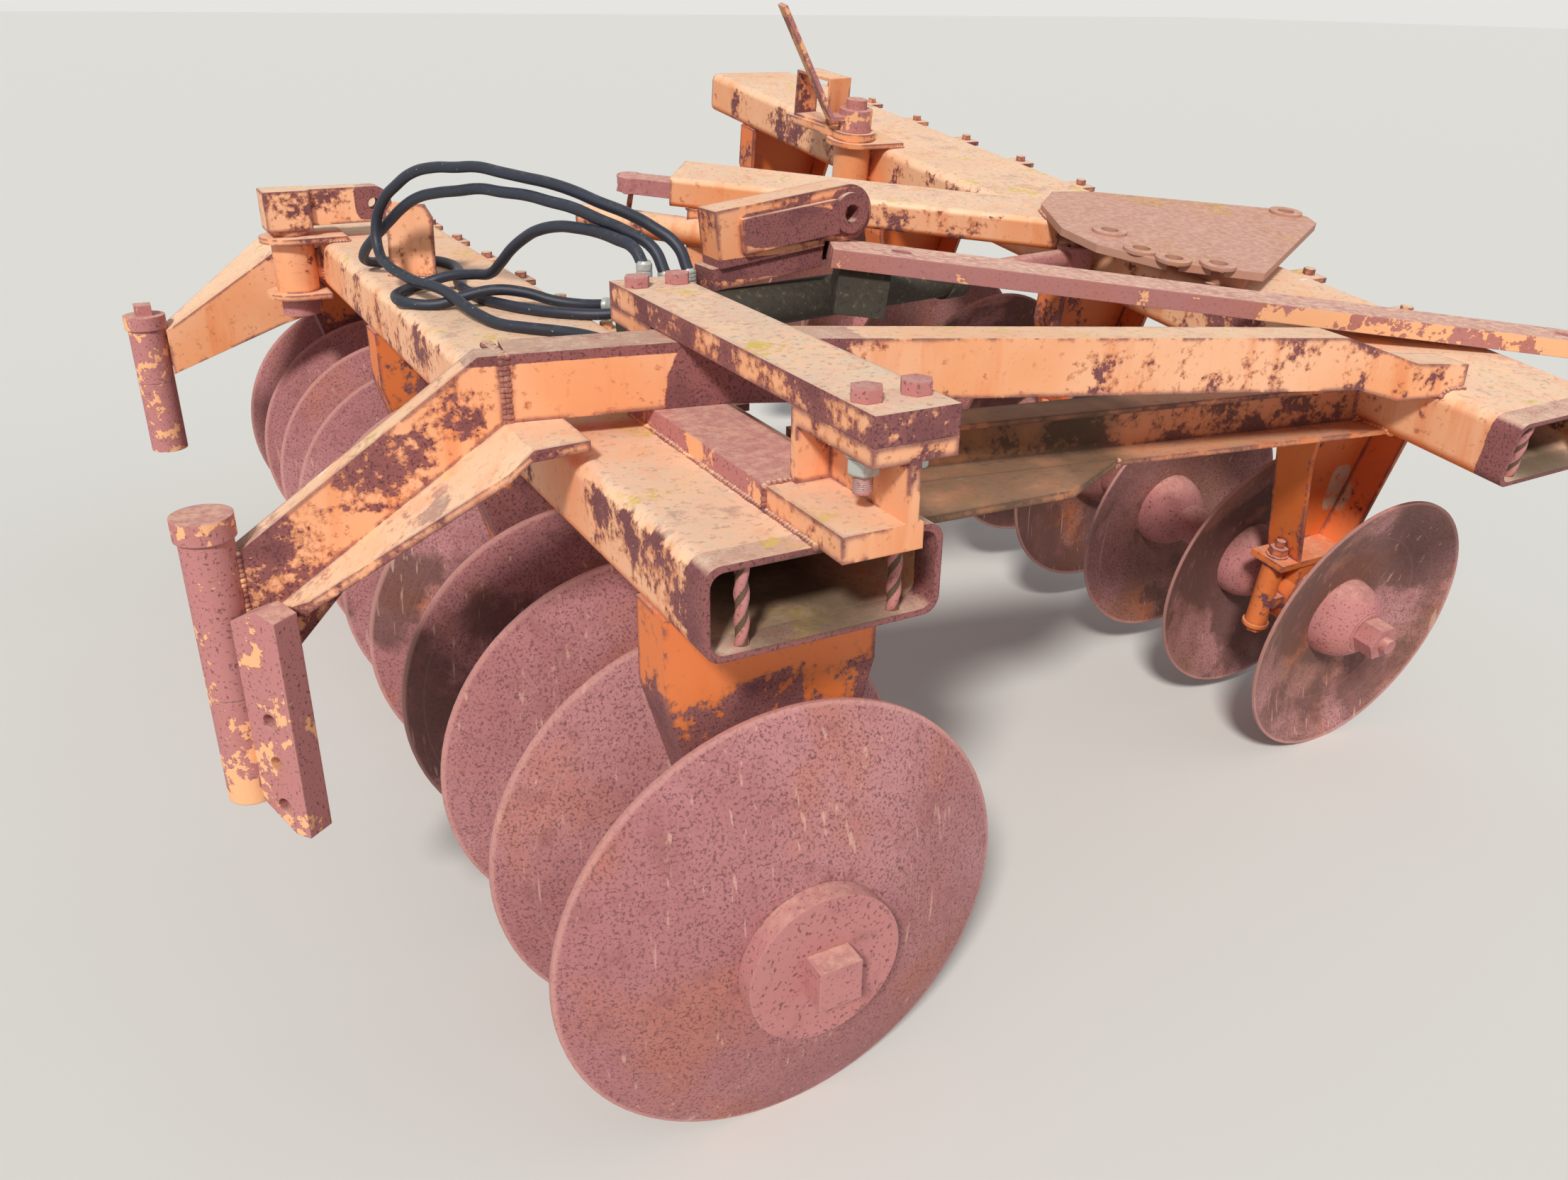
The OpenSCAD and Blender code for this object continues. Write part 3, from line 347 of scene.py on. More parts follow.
def disc_steel(name, colours, base, start, turn, radius, stain_at, stain_half):
    """Pressed disc steel: an even coat of rust with dark pits, rubbed pale scratches and a worn rim, whose
    paler ring is also a painted highlight.

    start and turn place the gang's axle, radius is a disc's, and stain_at and stain_half say where along
    the axle earth has stained the discs, all in metres.
    """
    p = Paint(name, base, 0.8)
    local = add_node(p.tree, "ShaderNodeMapping", {
        "Vector": p.where, "Location": start, "Rotation": turn}, vector_type="TEXTURE")
    split = add_node(p.tree, "ShaderNodeSeparateXYZ", {0: local.outputs[0]})
    along = split.outputs["Y"]
    across = add_node(p.tree, "ShaderNodeCombineXYZ", {0: split.outputs["X"], 1: split.outputs["Z"]})
    reach = add_node(p.tree, "ShaderNodeVectorMath", {0: across.outputs[0]}, operation="LENGTH")
    reach = reach.outputs["Value"]
    away = add_node(p.tree, "ShaderNodeMath", {0: along, 1: stain_at}, operation="SUBTRACT")
    away = add_node(p.tree, "ShaderNodeMath", {0: away.outputs[0]}, operation="ABSOLUTE").outputs[0]
    # Noise over the reach and the place along the axle, the same all the way round
    spun = add_node(p.tree, "ShaderNodeCombineXYZ", {0: p.mask(reach, 90), 1: p.mask(along, 3)})
    arcs = add_node(p.tree, "ShaderNodeTexNoise", {
        "Vector": spun.outputs[0], "Scale": 1.0, "Detail": 3.0}).outputs["Fac"]
    large = p.patches(190, 4.0, seed=3.3)
    middle = p.patches(28, 5.0, seed=4.4)
    grit = p.patches(2.8, 3.0, rough=0.75, seed=6.1)
    scratch = p.patches(7, seed=8.0, stretch=(1, 1, 0.05))
    p.lay(linear(ROSY_RUST), (large, 0.4, 0.66, 0, 0.8))
    stained = p.mask((away, stain_half, stain_half - 0.08))
    p.lay(colours.fresh_rust, (p.patches(120, 4.0, seed=14.0), 0.5, 0.7), (stained, 0, 1, 0.35, 1))
    p.lay(linear(EARTH_STAIN), stained, (p.patches(150, 5.0, seed=17.0), 0.46, 0.54), 0.8)
    p.lay(colours.old_rust, (grit, 0.5, 0.62, 0, 0.75))
    p.lay(colours.rust, (middle, 0.52, 0.72, 0, 0.5))
    p.lay(colours.dust, (arcs, 0.6, 0.74, 0, 0.1))
    p.lay(colours.dust, (scratch, 0.64, 0.74, 0, 0.35))
    # A paler ring along the rim: wear, and a painted highlight on the rim's edge
    p.lay(colours.pink_rust, (reach, radius - 0.009, radius - 0.003, 0, 0.5))
    p.relief += [(grit, 0.35), (middle, 0.5)]
    return p.finish()


def mossy_enamel(name, colours):
    """Dark enamel of a hydraulic barrel, furred with dry moss, and laid on the saddle as painted shade."""
    p = Paint(name, colours.moss_and_shade, 0.75)
    speck = p.patches(8, 5.0, rough=0.7, seed=4.0)
    p.lay(linear(MOSS_SHADE), (p.patches(90, 4.0), 0.45, 0.65, 0, 0.7))
    p.lay(linear(MOSS_DRY), (speck, 0.55, 0.66, 0, 0.8))
    p.lay(linear(MOSS_DARK), (speck, 0.42, 0.34, 0, 0.7))
    p.relief.append((speck, 0.9))
    return p.finish()


def dull_zinc(name, colours):
    """Galvanised steel gone matt, with grey blooms and grime."""
    p = Paint(name, colours.zinc, 0.5)
    p.lay(linear(ZINC_BLOOM), (p.patches(12, 4.0), 0.45, 0.62, 0, 0.5))
    p.lay(linear(ZINC_DIRT), (p.patches(4, 3.0, seed=2.0), 0.6, 0.7, 0, 0.5))
    p.relief.append((p.patches(3, seed=5.0), 0.15))
    return p.finish(metallic=0.45, round_mm=0.8)


def hose_cover(name, colours):
    """Nitrile hose cover: blue black, with pale specks of lime, and dust on its back that is also a painted
    sheen.
    """
    p = Paint(name, colours.rubber, 0.52)
    p.lay(linear(RUBBER_FADED), (p.patches(70, 3.0), 0.4, 0.65, 0, 0.5))
    p.lay(linear(RUBBER_LIME), (p.patches(3.5, 1.0, seed=6.0), 0.76, 0.8, 0, 0.8))
    # Pale blue grey on the hoses' upper sides: dust, and a painted sheen where light falls on them
    p.lay(linear(RUBBER_DUST_AND_SHEEN), (p.up, 0.4, 1), (p.patches(9, 4.0, seed=3.0), 0.5, 0.65, 0, 0.2))
    p.relief.append((p.patches(2.0, seed=8.0), 0.12))
    return p.finish(round_mm=0.5)


# Places with less enamel left: frame, middle, half sizes, and how much more is gone
BEAM_WEAR = (
    ((LEFT, (0, -85, 560), (400, 48, 300)), 0.3),
    ((RIGHT, (0, -254, 560), (400, 55, 300)), 0.3),
)
ARM_WEAR = (
    ((MACHINE, (100, 420, 960), (105, 300, 160)), 0.4),
    ((MACHINE, (-500, 440, 820), (150, 120, 110)), 0.06),
    ((MACHINE, (-400, 440, 960), (80, 120, 60)), 0.07),
    ((MACHINE, (-310, 440, 1035), (55, 120, 45)), 0.05),
    ((MACHINE, (700, 400, 1108), (1200, 400, 14)), 0.25),
    ((MACHINE, (-26, 2215, 1067), (46, 60, 46)), 0.35),
)
BLOCK_WEAR = (
    ((MACHINE, (612, 885, 1184), (46, 40, 46)), 0.35),
    ((MACHINE, (470, 872, 1168), (110, 30, 36)), 0.16),
    ((MACHINE, (480, 920, 1098), (240, 90, 22)), 0.2),
)
# Dark earth inside the beams' near mouths, painted also as the shade inside them: frame, middle, half sizes,
# and weight
BEAM_MOUTH_GRIME_AND_SHADE = (
    ((LEFT, (0, 130, 560), (164, 420, 62)), 0.95),
    ((RIGHT, (0, -40, 560), (164, 420, 62)), 0.95),
)
CHANNEL_GRIME = (
    ((MACHINE, (420, 200, 900), (520, 900, 400)), 0.75),
    ((MACHINE, (1400, 200, 900), (700, 900, 400)), 0.3),
)
HANGER_WEAR = (
    ((MACHINE, (0, 1300, 480), (300, 3000, 290)), 0.1),
)
# The hanger's patch of grey primer, and the bar's end that has kept its enamel
HANGER_PRIMER = ((RIGHT, (80, 208, 232), (34, 30, 60)),)
BAR_KEPT = (MACHINE, (1650, 100, 930), (520, 500, 120))


def make_materials():
    c = bpy.context.scene.harrow_colours
    return {
        # Bleached orange, chalky and dusty on top, rusted round its mouths, with earth inside them that is also
        # painted shade
        "beam": weathered_enamel("sun_faded_enamel", c, cover=0.10, edge=0.26, dusty=0.75,
                                 worn=BEAM_WEAR, grimy=BEAM_MOUTH_GRIME_AND_SHADE),
        # Pale orange that comes off in flakes, with purple brown rust between them
        "arm": weathered_enamel("flaking_enamel", c, cover=0.10, edge=0.22, dusty=0.6, worn=ARM_WEAR),
        # Small plates, a little deeper in colour, with thin rust along their edges
        "plate": weathered_enamel("shaded_enamel", c, cover=0.09, edge=0.22, dusty=0.6, sheltered=0.1),
        # Dull orange behind a brown green film of earth
        "grimy": weathered_enamel("grimy_enamel", c, cover=0.12, edge=0.24, dusty=0.5, sheltered=0.5,
                                  grimy=CHANNEL_GRIME),
        # Strong orange that the sun never reached, rusted low down
        "hanger": weathered_enamel("sheltered_enamel", c, cover=0.08, edge=0.2, dusty=0.4, sheltered=0.85,
                                   worn=HANGER_WEAR, primed=HANGER_PRIMER),
        # Tan, lichened top over sides that are half rust
        "cap": weathered_enamel("lichened_enamel", c, cover=0.16, edge=0.34, dusty=1.0),
        # Pinkish enamel rubbed to rust on its pad and round its bore
        "block": weathered_enamel("pinkish_enamel", c, cover=0.13, edge=0.3, dusty=0.7, sheltered=0.1,
                                  worn=BLOCK_WEAR),
        # Even, dry, pinkish brown rust
        "iron": rusty_iron("rusted_rolled_iron", c, c.bare, pits=0.6, dusty=0.5),
        # Rust bleached pink on the bar's level back, with enamel left near its end
        "bar": rusty_iron("bleached_rusty_bar", c, linear("#B07672"), pits=0.3, dusty=1.0, painted=0.2,
                          kept=BAR_KEPT),
        # Tan brown plate with yellow lichen in clouds
        "hitch": rusty_iron("lichened_rusty_plate", c, linear("#B98A76"), pits=0.1, dusty=0.45,
                            lichened=1.5),
        # The same rust with deeper, darker pits
        "cast": rusty_iron("rusted_cast_iron", c, c.bare, pits=0.75, dusty=0.3),
        # Rust with the last flakes of orange on it
        "chipped": rusty_iron("rust_with_paint_left", c, c.bare, pits=0.7, dusty=0.5, painted=0.6),
        # Purple brown, finely pitted, with a pinkish worn rim that is also a painted highlight
        "left_disc": disc_steel("left_disc_steel", c, linear("#A76C6D"), tuple(LEFT_START), (0, 0, 0),
                                radius=0.3555, stain_at=1.1, stain_half=0.42),
        # Browner, stained dark by earth
        "right_disc": disc_steel("right_disc_steel", c, linear("#96685A"), tuple(RIGHT_START),
                                 tuple(RIGHT_AXES.to_euler()), radius=0.310, stain_at=0.75, stain_half=0.8),
        # Nearly black green, with a nap of dry moss; on the saddle this dark colour is painted shade
        "moss_and_shade": mossy_enamel("mossy_enamel", c),
        # Pale matt grey
        "zinc": dull_zinc("weathered_zinc", c),
        # Blue black with a soft sheen
        "rubber": hose_cover("hose_cover_rubber", c),
    }


MATERIALS = {}

# Which finish each carried-over solid has
FINISHES = {
    "beam": ("left_beam", "right_beam", "tongue_beam"),
    "arm": ("near_arm", "far_arm", "cross_channel", "left_eye_block", "lever_base"),
    "grimy": ("under_plate", "lower_channel"),
    "plate": ("link_rod", "hose_plate", "near_pedestal", "far_pedestal",
              "left_pivot_bracket", "right_pivot_bracket"),
    "hanger": ("left_hangers", "right_hangers", "left_bearings", "right_bearings"),
    "cap": ("cap_bar",),
    "bar": ("strut_bar",),
    "hitch": ("hitch_plate",),
    "iron": ("cylinder_rod", "left_axle", "right_axle",
             "left_pivot_pin", "right_pivot_pin", "rod_shelf", "tongue_lug"),
    "cast": ("left_spools", "right_spools", "left_ends", "right_ends", "clamp_bolts"),
    "chipped": ("wear_strip", "near_sleeve", "near_leg", "near_strap", "far_sleeve", "far_leg", "swivel_lever"),
    "block": ("coupling_block",),
    "left_disc": ("left_discs",),
    "right_disc": ("right_discs",),
    # The saddle has the barrel's dark finish as painted shade, since it sits in the barrel's shadow
    "moss_and_shade": ("cylinder_barrel", "saddle"),
}


def linked(name, data, material):
    """A new object at the origin, in the scene, with its one material."""
    made = bpy.data.objects.new(name, data)
    bpy.context.scene.collection.objects.link(made)
    data.materials.clear()
    data.materials.append(MATERIALS[material])
    return made


def new_object(name, data, body, material):
    made = linked(name, data, material)
    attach(made, body)
    return made


def shape(name, bm, body, material, smooth_angle=40):
    """Makes a bmesh an object with smooth faces, and sharp edges past the angle in degrees."""
    bmesh.ops.remove_doubles(bm, verts=bm.verts, dist=0.00001)
    bmesh.ops.recalc_face_normals(bm, faces=bm.faces)
    for face in bm.faces:
        face.smooth = True
    for edge in bm.edges:
        if len(edge.link_faces) == 2:
            edge.smooth = edge.calc_face_angle() < math.radians(smooth_angle)
    mesh = bpy.data.meshes.new(name)
    bm.to_mesh(mesh)
    bm.free()
    return new_object(name, mesh, body, material)


def skin(bm, place, rings):
    """Closed form over rings of as many points each, which are given in the place's frame."""
    rows = [[bm.verts.new(place @ Vector(point)) for point in ring] for ring in rings]
    for low, high in zip(rows, rows[1:]):
        for k in range(len(low)):
            after = (k + 1) % len(low)
            bm.faces.new((low[k], low[after], high[after], high[k]))
    bm.faces.new(rows[0][::-1])
    bm.faces.new(rows[-1])


def lathe(bm, place, profile, sides=32):
    """Closed turned form: (radius, height) pairs from one end of the axis to the other."""
    turns = [2 * math.pi * k / sides for k in range(sides)]
    skin(bm, place, [[(radius * math.cos(a), radius * math.sin(a), height) for a in turns]
                     for radius, height in profile])


def hexagon(bm, place, flats, low, high, chamfer=0.12):
    """Six-sided nut or head with chamfered corners, flats being its width across them."""
    inner = flats / 2
    corner = inner / math.cos(math.pi / 6)
    cut = chamfer * (high - low)
    lathe(bm, place, [(inner, low), (corner, low + cut), (corner, high - cut), (inner, high)], sides=6)


# The hoses' routes in the machine frame, in metres, from the ports to the couplings
HOSE_A = [
    (0.260, 0.880, 1.105), (0.250, 0.900, 1.145), (0.220, 0.940, 1.175), (0.190, 0.990, 1.195),
    (0.155, 1.040, 1.210), (0.125, 1.095, 1.225), (0.095, 1.145, 1.235), (0.065, 1.200, 1.240),
    (0.035, 1.255, 1.245), (0.005, 1.310, 1.250), (-0.025, 1.360, 1.245), (-0.055, 1.415, 1.240),
    (-0.085, 1.470, 1.225), (-0.110, 1.520, 1.195), (-0.130, 1.565, 1.160), (-0.145, 1.590, 1.110),
    (-0.150, 1.570, 1.055), (-0.145, 1.515, 1.035), (-0.130, 1.455, 1.025), (-0.115, 1.395, 1.020),
    (-0.095, 1.335, 1.020), (-0.080, 1.275, 1.015), (-0.070, 1.215, 1.005), (-0.055, 1.155, 0.995),
    (-0.035, 1.095, 0.990), (0.000, 1.045, 0.990), (0.040, 1.000, 0.990), (0.075, 0.950, 0.990),
    (0.095, 0.890, 0.990), (0.095, 0.830, 0.990), (0.090, 0.765, 0.990), (0.085, 0.705, 0.994),
]
HOSE_B = [
    (0.210, 0.870, 1.105), (0.200, 0.895, 1.145), (0.170, 0.945, 1.170), (0.140, 1.005, 1.185),
    (0.110, 1.060, 1.200), (0.085, 1.120, 1.205), (0.060, 1.180, 1.210), (0.030, 1.240, 1.210),
    (0.005, 1.300, 1.210), (-0.025, 1.360, 1.200), (-0.050, 1.420, 1.190), (-0.075, 1.480, 1.175),
    (-0.095, 1.535, 1.150), (-0.115, 1.590, 1.115), (-0.140, 1.640, 1.075), (-0.155, 1.700, 1.035),
    (-0.145, 1.755, 1.005), (-0.100, 1.800, 0.990), (-0.040, 1.805, 0.990), (0.010, 1.770, 0.990),
    (0.035, 1.710, 0.990), (0.035, 1.650, 0.990), (0.020, 1.585, 0.990), (0.000, 1.520, 0.990),
    (-0.010, 1.455, 0.990), (-0.010, 1.390, 0.990), (-0.005, 1.325, 0.990), (0.020, 1.255, 0.990),
    (0.055, 1.190, 0.990), (0.105, 1.130, 0.990), (0.160, 1.090, 0.990), (0.220, 1.065, 0.994),
]
HOSE_C = [
    (0.165, 0.862, 1.125), (0.160, 0.890, 1.150), (0.145, 0.940, 1.160), (0.130, 1.000, 1.165),
    (0.110, 1.055, 1.165), (0.095, 1.110, 1.160), (0.075, 1.170, 1.145), (0.065, 1.220, 1.125),
    (0.050, 1.270, 1.095), (0.040, 1.320, 1.060), (0.030, 1.370, 1.030), (0.010, 1.425, 1.020),
    (-0.030, 1.470, 1.012), (-0.085, 1.490, 0.995), (-0.135, 1.460, 0.990), (-0.160, 1.405, 0.990),
    (-0.150, 1.350, 0.990), (-0.100, 1.310, 0.990), (-0.045, 1.295, 1.005), (0.010, 1.280, 1.015),
    (0.065, 1.255, 1.010), (0.115, 1.225, 0.995), (0.160, 1.190, 0.990), (0.200, 1.145, 0.994),
]


class HARROW_OT_stage(bpy.types.Operator):
    """Camera at the photograph's viewpoint, pale floor, broad soft lights"""
    bl_idname = "harrow.stage"
    bl_label = "Stage"

    # The camera's place in the machine frame, and the floor's half width in metres
    viewpoint = (-711, -1270, 1568)
    floor_half = 90
    # Broad key from high on the left, behind the viewer, and a weak one from the right: the way each
    # light goes, its share of the key's strength, its angle and its tint
    suns = (
        ("key", (0.55, 0.62, -0.7), 1.0, 8, (1.0, 0.97, 0.92)),
        ("side", (-0.8, 0.35, -0.4), 0.12, 60, (0.92, 0.96, 1.0)),
    )
    # Light of the sky on the machine: its colour and strength, and the plain colour seen behind it
    fill = ((0.9, 0.95, 1.0, 1), 0.36)
    backdrop = "#E6E5E2"
    floor_colour = "#DCDBD7"

    def execute(self, context):
        s = context.scene.harrow_stage
        scene = context.scene
        level = Vector((math.cos(s.azimuth), -math.sin(s.azimuth), 0))
        ahead = Vector((math.sin(s.azimuth) * math.cos(s.pitch),
                        math.cos(s.azimuth) * math.cos(s.pitch), -math.sin(s.pitch)))
        down = ahead.cross(level)
        right = math.cos(s.roll) * level + math.sin(s.roll) * down
        camera = bpy.data.cameras.new("viewpoint")
        camera.lens = s.lens
        camera.sensor_width = 36
        camera.clip_end = 200
        eye = bpy.data.objects.new("viewpoint", camera)
        eye.matrix_world = Matrix.Translation(at_machine(*self.viewpoint)) @ Matrix((
            right, right.cross(ahead), -ahead)).transposed().to_4x4()
        scene.collection.objects.link(eye)
        scene.camera = eye
        self.make_floor(scene)
        self.make_lights(scene, s.sun)
        scene.view_settings.view_transform = "Standard"
        return {"FINISHED"}

    def make_floor(self, scene):
        bm = bmesh.new()
        bmesh.ops.create_grid(bm, x_segments=1, y_segments=1, size=self.floor_half)
        mesh = bpy.data.meshes.new("floor")
        bm.to_mesh(mesh)
        bm.free()
        floor = bpy.data.objects.new("floor", mesh)
        scene.collection.objects.link(floor)
        # Plain matt concrete, pale so that it only carries the shadow
        material = bpy.data.materials.new("pale_floor")
        material.use_nodes = True
        shader = material.node_tree.nodes["Principled BSDF"]
        shader.inputs["Base Color"].default_value = (*linear(self.floor_colour), 1)
        shader.inputs["Roughness"].default_value = 0.9
        mesh.materials.append(material)

    def make_lights(self, scene, strength):
        world = bpy.data.worlds.new("sky")
        world.use_nodes = True
        scene.world = world
        tree = world.node_tree
        tree.nodes.clear()
        path = add_node(tree, "ShaderNodeLightPath")
        seen = add_node(tree, "ShaderNodeMath", {
            0: path.outputs["Is Camera Ray"], 1: path.outputs["Is Glossy Ray"]}, operation="MAXIMUM")
        colour, fill_strength = self.fill
        fill = add_node(tree, "ShaderNodeBackground", {"Color": colour, "Strength": fill_strength})
        pale = add_node(tree, "ShaderNodeBackground", {"Color": (*linear(self.backdrop), 1), "Strength": 1.0})
        both = add_node(tree, "ShaderNodeMixShader", {
            0: seen.outputs[0], 1: fill.outputs[0], 2: pale.outputs[0]})
        add_node(tree, "ShaderNodeOutputWorld", {0: both.outputs[0]})
        for name, way, share, angle, tint in self.suns:
            lamp = bpy.data.lights.new(name, "SUN")
            lamp.energy = strength * share
            lamp.angle = math.radians(angle)
            lamp.color = tint
            light = bpy.data.objects.new(name, lamp)
            light.rotation_euler = Vector(way).to_track_quat("-Z", "Y").to_euler()
            scene.collection.objects.link(light)


class HARROW_OT_hoses(bpy.types.Operator):
    """Three hydraulic hoses looped over the left beam, with their ferrules and couplings"""
    bl_idname = "harrow.hoses"
    bl_label = "Hoses"

    # Each hose's port along the barrel and the length of its ferrule, both in mm, and its own length in m
    rows = (("a", HOSE_A, 135, 36, 1.90), ("b", HOSE_B, 84, 36, 2.06), ("c", HOSE_C, 38, 58, 1.36))
    # The barrel's foot in the machine frame, its turn and tilt in degrees, and its ports' height off its axis
    barrel_foot = (128, 853.7, TOP_Z + 42)
    barrel_turn = 11.6
    barrel_tilt = 90.7
    port_height = 55
    # Radii of a ferrule: its crimped rings, the grooves between them, and the hose that goes in
    ring = 14.6
    groove = 12.8
    throat = 11.4

    def execute(self, context):
        size = context.scene.harrow_sizes.hose
        for name, route, port, foot, length in self.rows:
            points = [at_machine(*(1000 * c for c in p)) for p in route]
            curve = bpy.data.curves.new("hose_" + name + "_cover", "CURVE")
            curve.dimensions = "3D"
            curve.bevel_depth = size / 2
            curve.bevel_resolution = 6
            curve.resolution_u = 6
            curve.use_fill_caps = True
            spline = curve.splines.new("BEZIER")
            spline.bezier_points.add(len(points) - 1)
            for knot, point in zip(spline.bezier_points, points):
                knot.co = point
                knot.handle_left_type = knot.handle_right_type = "AUTO"
            hose = new_object("hose_" + name + "_cover", curve, "frame", "rubber")
            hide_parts("hose_" + name)
            fittings = self.fittings(name, points, foot, port)
        return {"FINISHED"}

    def fittings(self, name, points, foot, port):
        """Hexagon and crimped ferrule on the port, and the coupling at the hose's far end."""
        bm = bmesh.new()
        barrel = MACHINE @ Matrix.Translation(self.barrel_foot) @ Matrix.Rotation(
            math.radians(self.barrel_turn), 4, "Z") @ Matrix.Rotation(math.radians(self.barrel_tilt), 4, "Y")
        seat = barrel @ Matrix.Translation((-self.port_height, 0, port)) @ Matrix.Rotation(
            math.radians(-90), 4, "Y")
        hexagon(bm, seat, 25, 0.2, 13)
        # Three crimped rings, each with a groove after it
        pitch = (foot - 17) / 3
        crimps = [(11.5, 12.8)]
        for k in range(3):
            low = 15 + k * pitch
            crimps += [(self.ring, low), (self.ring, low + pitch - 3), (self.groove, low + pitch - 1.5)]
        lathe(bm, seat, [*crimps, (self.throat, foot)])
        # The coupling: crimped sleeve, hexagon and threaded nose
        end, before = points[-1], points[-2]
        way = (end - before).normalized()
        turn = way.to_track_quat("Z", "Y").to_matrix().to_4x4()
        tip = Matrix.Translation(end - 0.008 * way) @ turn @ Matrix.Scale(MM, 4)
        lathe(bm, tip, [(self.throat, 0), (self.ring, 1.5), (self.ring, 9), (13, 11), (self.ring, 13),
                        (self.ring, 21), (12, 23), (10, 24)])
        hexagon(bm, tip, 26, 24, 38)
        lathe(bm, tip, [(10.2, 37), (10.2, 44), (8.8, 46), (8.8, 50), (7.4, 51.6)])
        made = shape("hose_fittings_" + name, bm, "frame", "zinc")
        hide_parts("hose_fittings")
        return made


def mesh_of(obj):
    """Makes the object's evaluated mesh its plain one, with its modifiers gone."""
    graph = bpy.context.evaluated_depsgraph_get()
    plain = bpy.data.meshes.new_from_object(obj.evaluated_get(graph))
    obj.modifiers.clear()
    old = obj.data
    obj.data = plain
    bpy.data.meshes.remove(old)


def merged(name):
    """A solid's mesh in few faces, its flats being whole."""
    bm = bmesh.new()
    bm.from_mesh(NODES[name].data)
    bmesh.ops.remove_doubles(bm, verts=bm.verts, dist=0.00002)
    bmesh.ops.dissolve_limit(bm, angle_limit=math.radians(2), verts=bm.verts, edges=bm.edges)
    return bm


def seam_points(edged, faced, reach=0.0012, pitch=0.004, sharp=25):
    """Short stretches of the sharp edges of one solid that lie on the other."""
    lines = merged(edged)
    other = merged(faced)
    tree = BVHTree.FromBMesh(other)
    found = []
    for edge in lines.edges:
        if len(edge.link_faces) != 2 or edge.calc_face_angle() < math.radians(sharp):
            continue
        a, b = (v.co for v in edge.verts)
        count = max(1, round((b - a).length / pitch))
        for k in range(count):
            start, end = a.lerp(b, k / count), a.lerp(b, (k + 1) / count)
            hit = tree.find_nearest(start.lerp(end, 0.5), reach)
            if hit[0] is not None:
                found.append((start, end))
    lines.free()
    other.free()
    return found


class HARROW_OT_welds(bpy.types.Operator):
    """Weld beads along the seams between the plates and the beams"""
    bl_idname = "harrow.welds"
    bl_label = "Weld beads"

    # Solids whose edges are welded to another: (edged, faced)
    seams = (
        ("left_hangers", "left_beam"), ("wear_strip", "left_beam"), ("near_arm", "left_beam"),
        ("near_arm", "near_sleeve"), ("left_pivot_bracket", "left_beam"), ("near_pedestal", "wear_strip"),
        ("near_pedestal", "left_beam"), ("far_pedestal", "wear_strip"), ("far_arm", "left_beam"),
        ("far_arm", "far_sleeve"), ("right_hangers", "right_beam"), ("right_pivot_bracket", "right_beam"),
        ("cross_channel", "right_beam"), ("lower_channel", "right_beam"), ("under_plate", "lower_channel"),
        ("lower_channel", "cross_channel"), ("hose_plate", "left_beam"), ("rod_shelf", "right_beam"),
        ("hitch_plate", "tongue_beam"), ("tongue_lug", "tongue_beam"), ("link_rod", "tongue_beam"),
    )
    # The near arm is welded end to end to the cross channel, in rows: x of each row, then y and z along it
    butt_rows = (-230.5, -226.5, -222.5)
    butt_path = ((427, 990), (427, 1030), (427, 1070), (427, 1107), (450, 1107), (480, 1107), (505, 1107))

    def execute(self, context):
        stretches = [pair for seam in self.seams for pair in seam_points(*seam)]
        if not stretches:
            raise RuntimeError("no seam was found")
        for x in self.butt_rows:
            path = [at_machine(x, *rest) for rest in self.butt_path]
            stretches += zip(path, path[1:])
        bm = bmesh.new()
        for start, end in stretches:
            bm.edges.new((bm.verts.new(start), bm.verts.new(end)))
        bmesh.ops.remove_doubles(bm, verts=bm.verts, dist=0.0003)
        mesh = bpy.data.meshes.new("weld_beads")
        bm.to_mesh(mesh)
        bm.free()
        beads = linked("weld_beads", mesh, "plate")
        tree = self.bead_tree()
        modifier = beads.modifiers.new("beads", "NODES")
        modifier.node_group = tree
        sizes = context.scene.harrow_sizes
        sockets = {item.name: item.identifier for item in tree.interface.items_tree}
        modifier[sockets["Pitch"]] = sizes.weld_pitch
        modifier[sockets["Width"]] = sizes.weld_width
        mesh_of(beads)
        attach(beads, "frame")
        return {"FINISHED"}

    def bead_tree(self):
        tree = bpy.data.node_groups.new("weld_ripples", "GeometryNodeTree")
        face = tree.interface
        face.new_socket("Seams", in_out="INPUT", socket_type="NodeSocketGeometry")
        face.new_socket("Pitch", in_out="INPUT", socket_type="NodeSocketFloat")
        face.new_socket("Width", in_out="INPUT", socket_type="NodeSocketFloat")
        face.new_socket("Beads", in_out="OUTPUT", socket_type="NodeSocketGeometry")
        given = add_node(tree, "NodeGroupInput").outputs
        curve = add_node(tree, "GeometryNodeMeshToCurve", {0: given["Seams"]})
        dots = add_node(tree, "GeometryNodeResampleCurve", {
            "Curve": curve.outputs[0], "Length": given["Pitch"]}, mode="LENGTH")
        size = add_node(tree, "FunctionNodeRandomValue", {2: 0.8, 3: 1.15, "Seed": 7}, data_type="FLOAT")
        turn = add_node(tree, "FunctionNodeRandomValue", {
            0: (0.0, 0.0, 0.0), 1: (6.28, 6.28, 6.28), "Seed": 11}, data_type="FLOAT_VECTOR")
        drop = add_node(tree, "GeometryNodeMeshIcoSphere", {"Radius": given["Width"], "Subdivisions": 2})
        placed = add_node(tree, "GeometryNodeInstanceOnPoints", {
            "Points": dots.outputs[0], "Instance": drop.outputs[0], "Rotation": turn.outputs[0],
            "Scale": size.outputs[1]})
        real = add_node(tree, "GeometryNodeRealizeInstances", {0: placed.outputs[0]})
        smooth = add_node(tree, "GeometryNodeSetShadeSmooth", {0: real.outputs[0]})
        coat = add_node(tree, "GeometryNodeSetMaterial", {0: smooth.outputs[0], "Material": MATERIALS["plate"]})
        add_node(tree, "NodeGroupOutput", {0: coat.outputs[0]})
        return tree


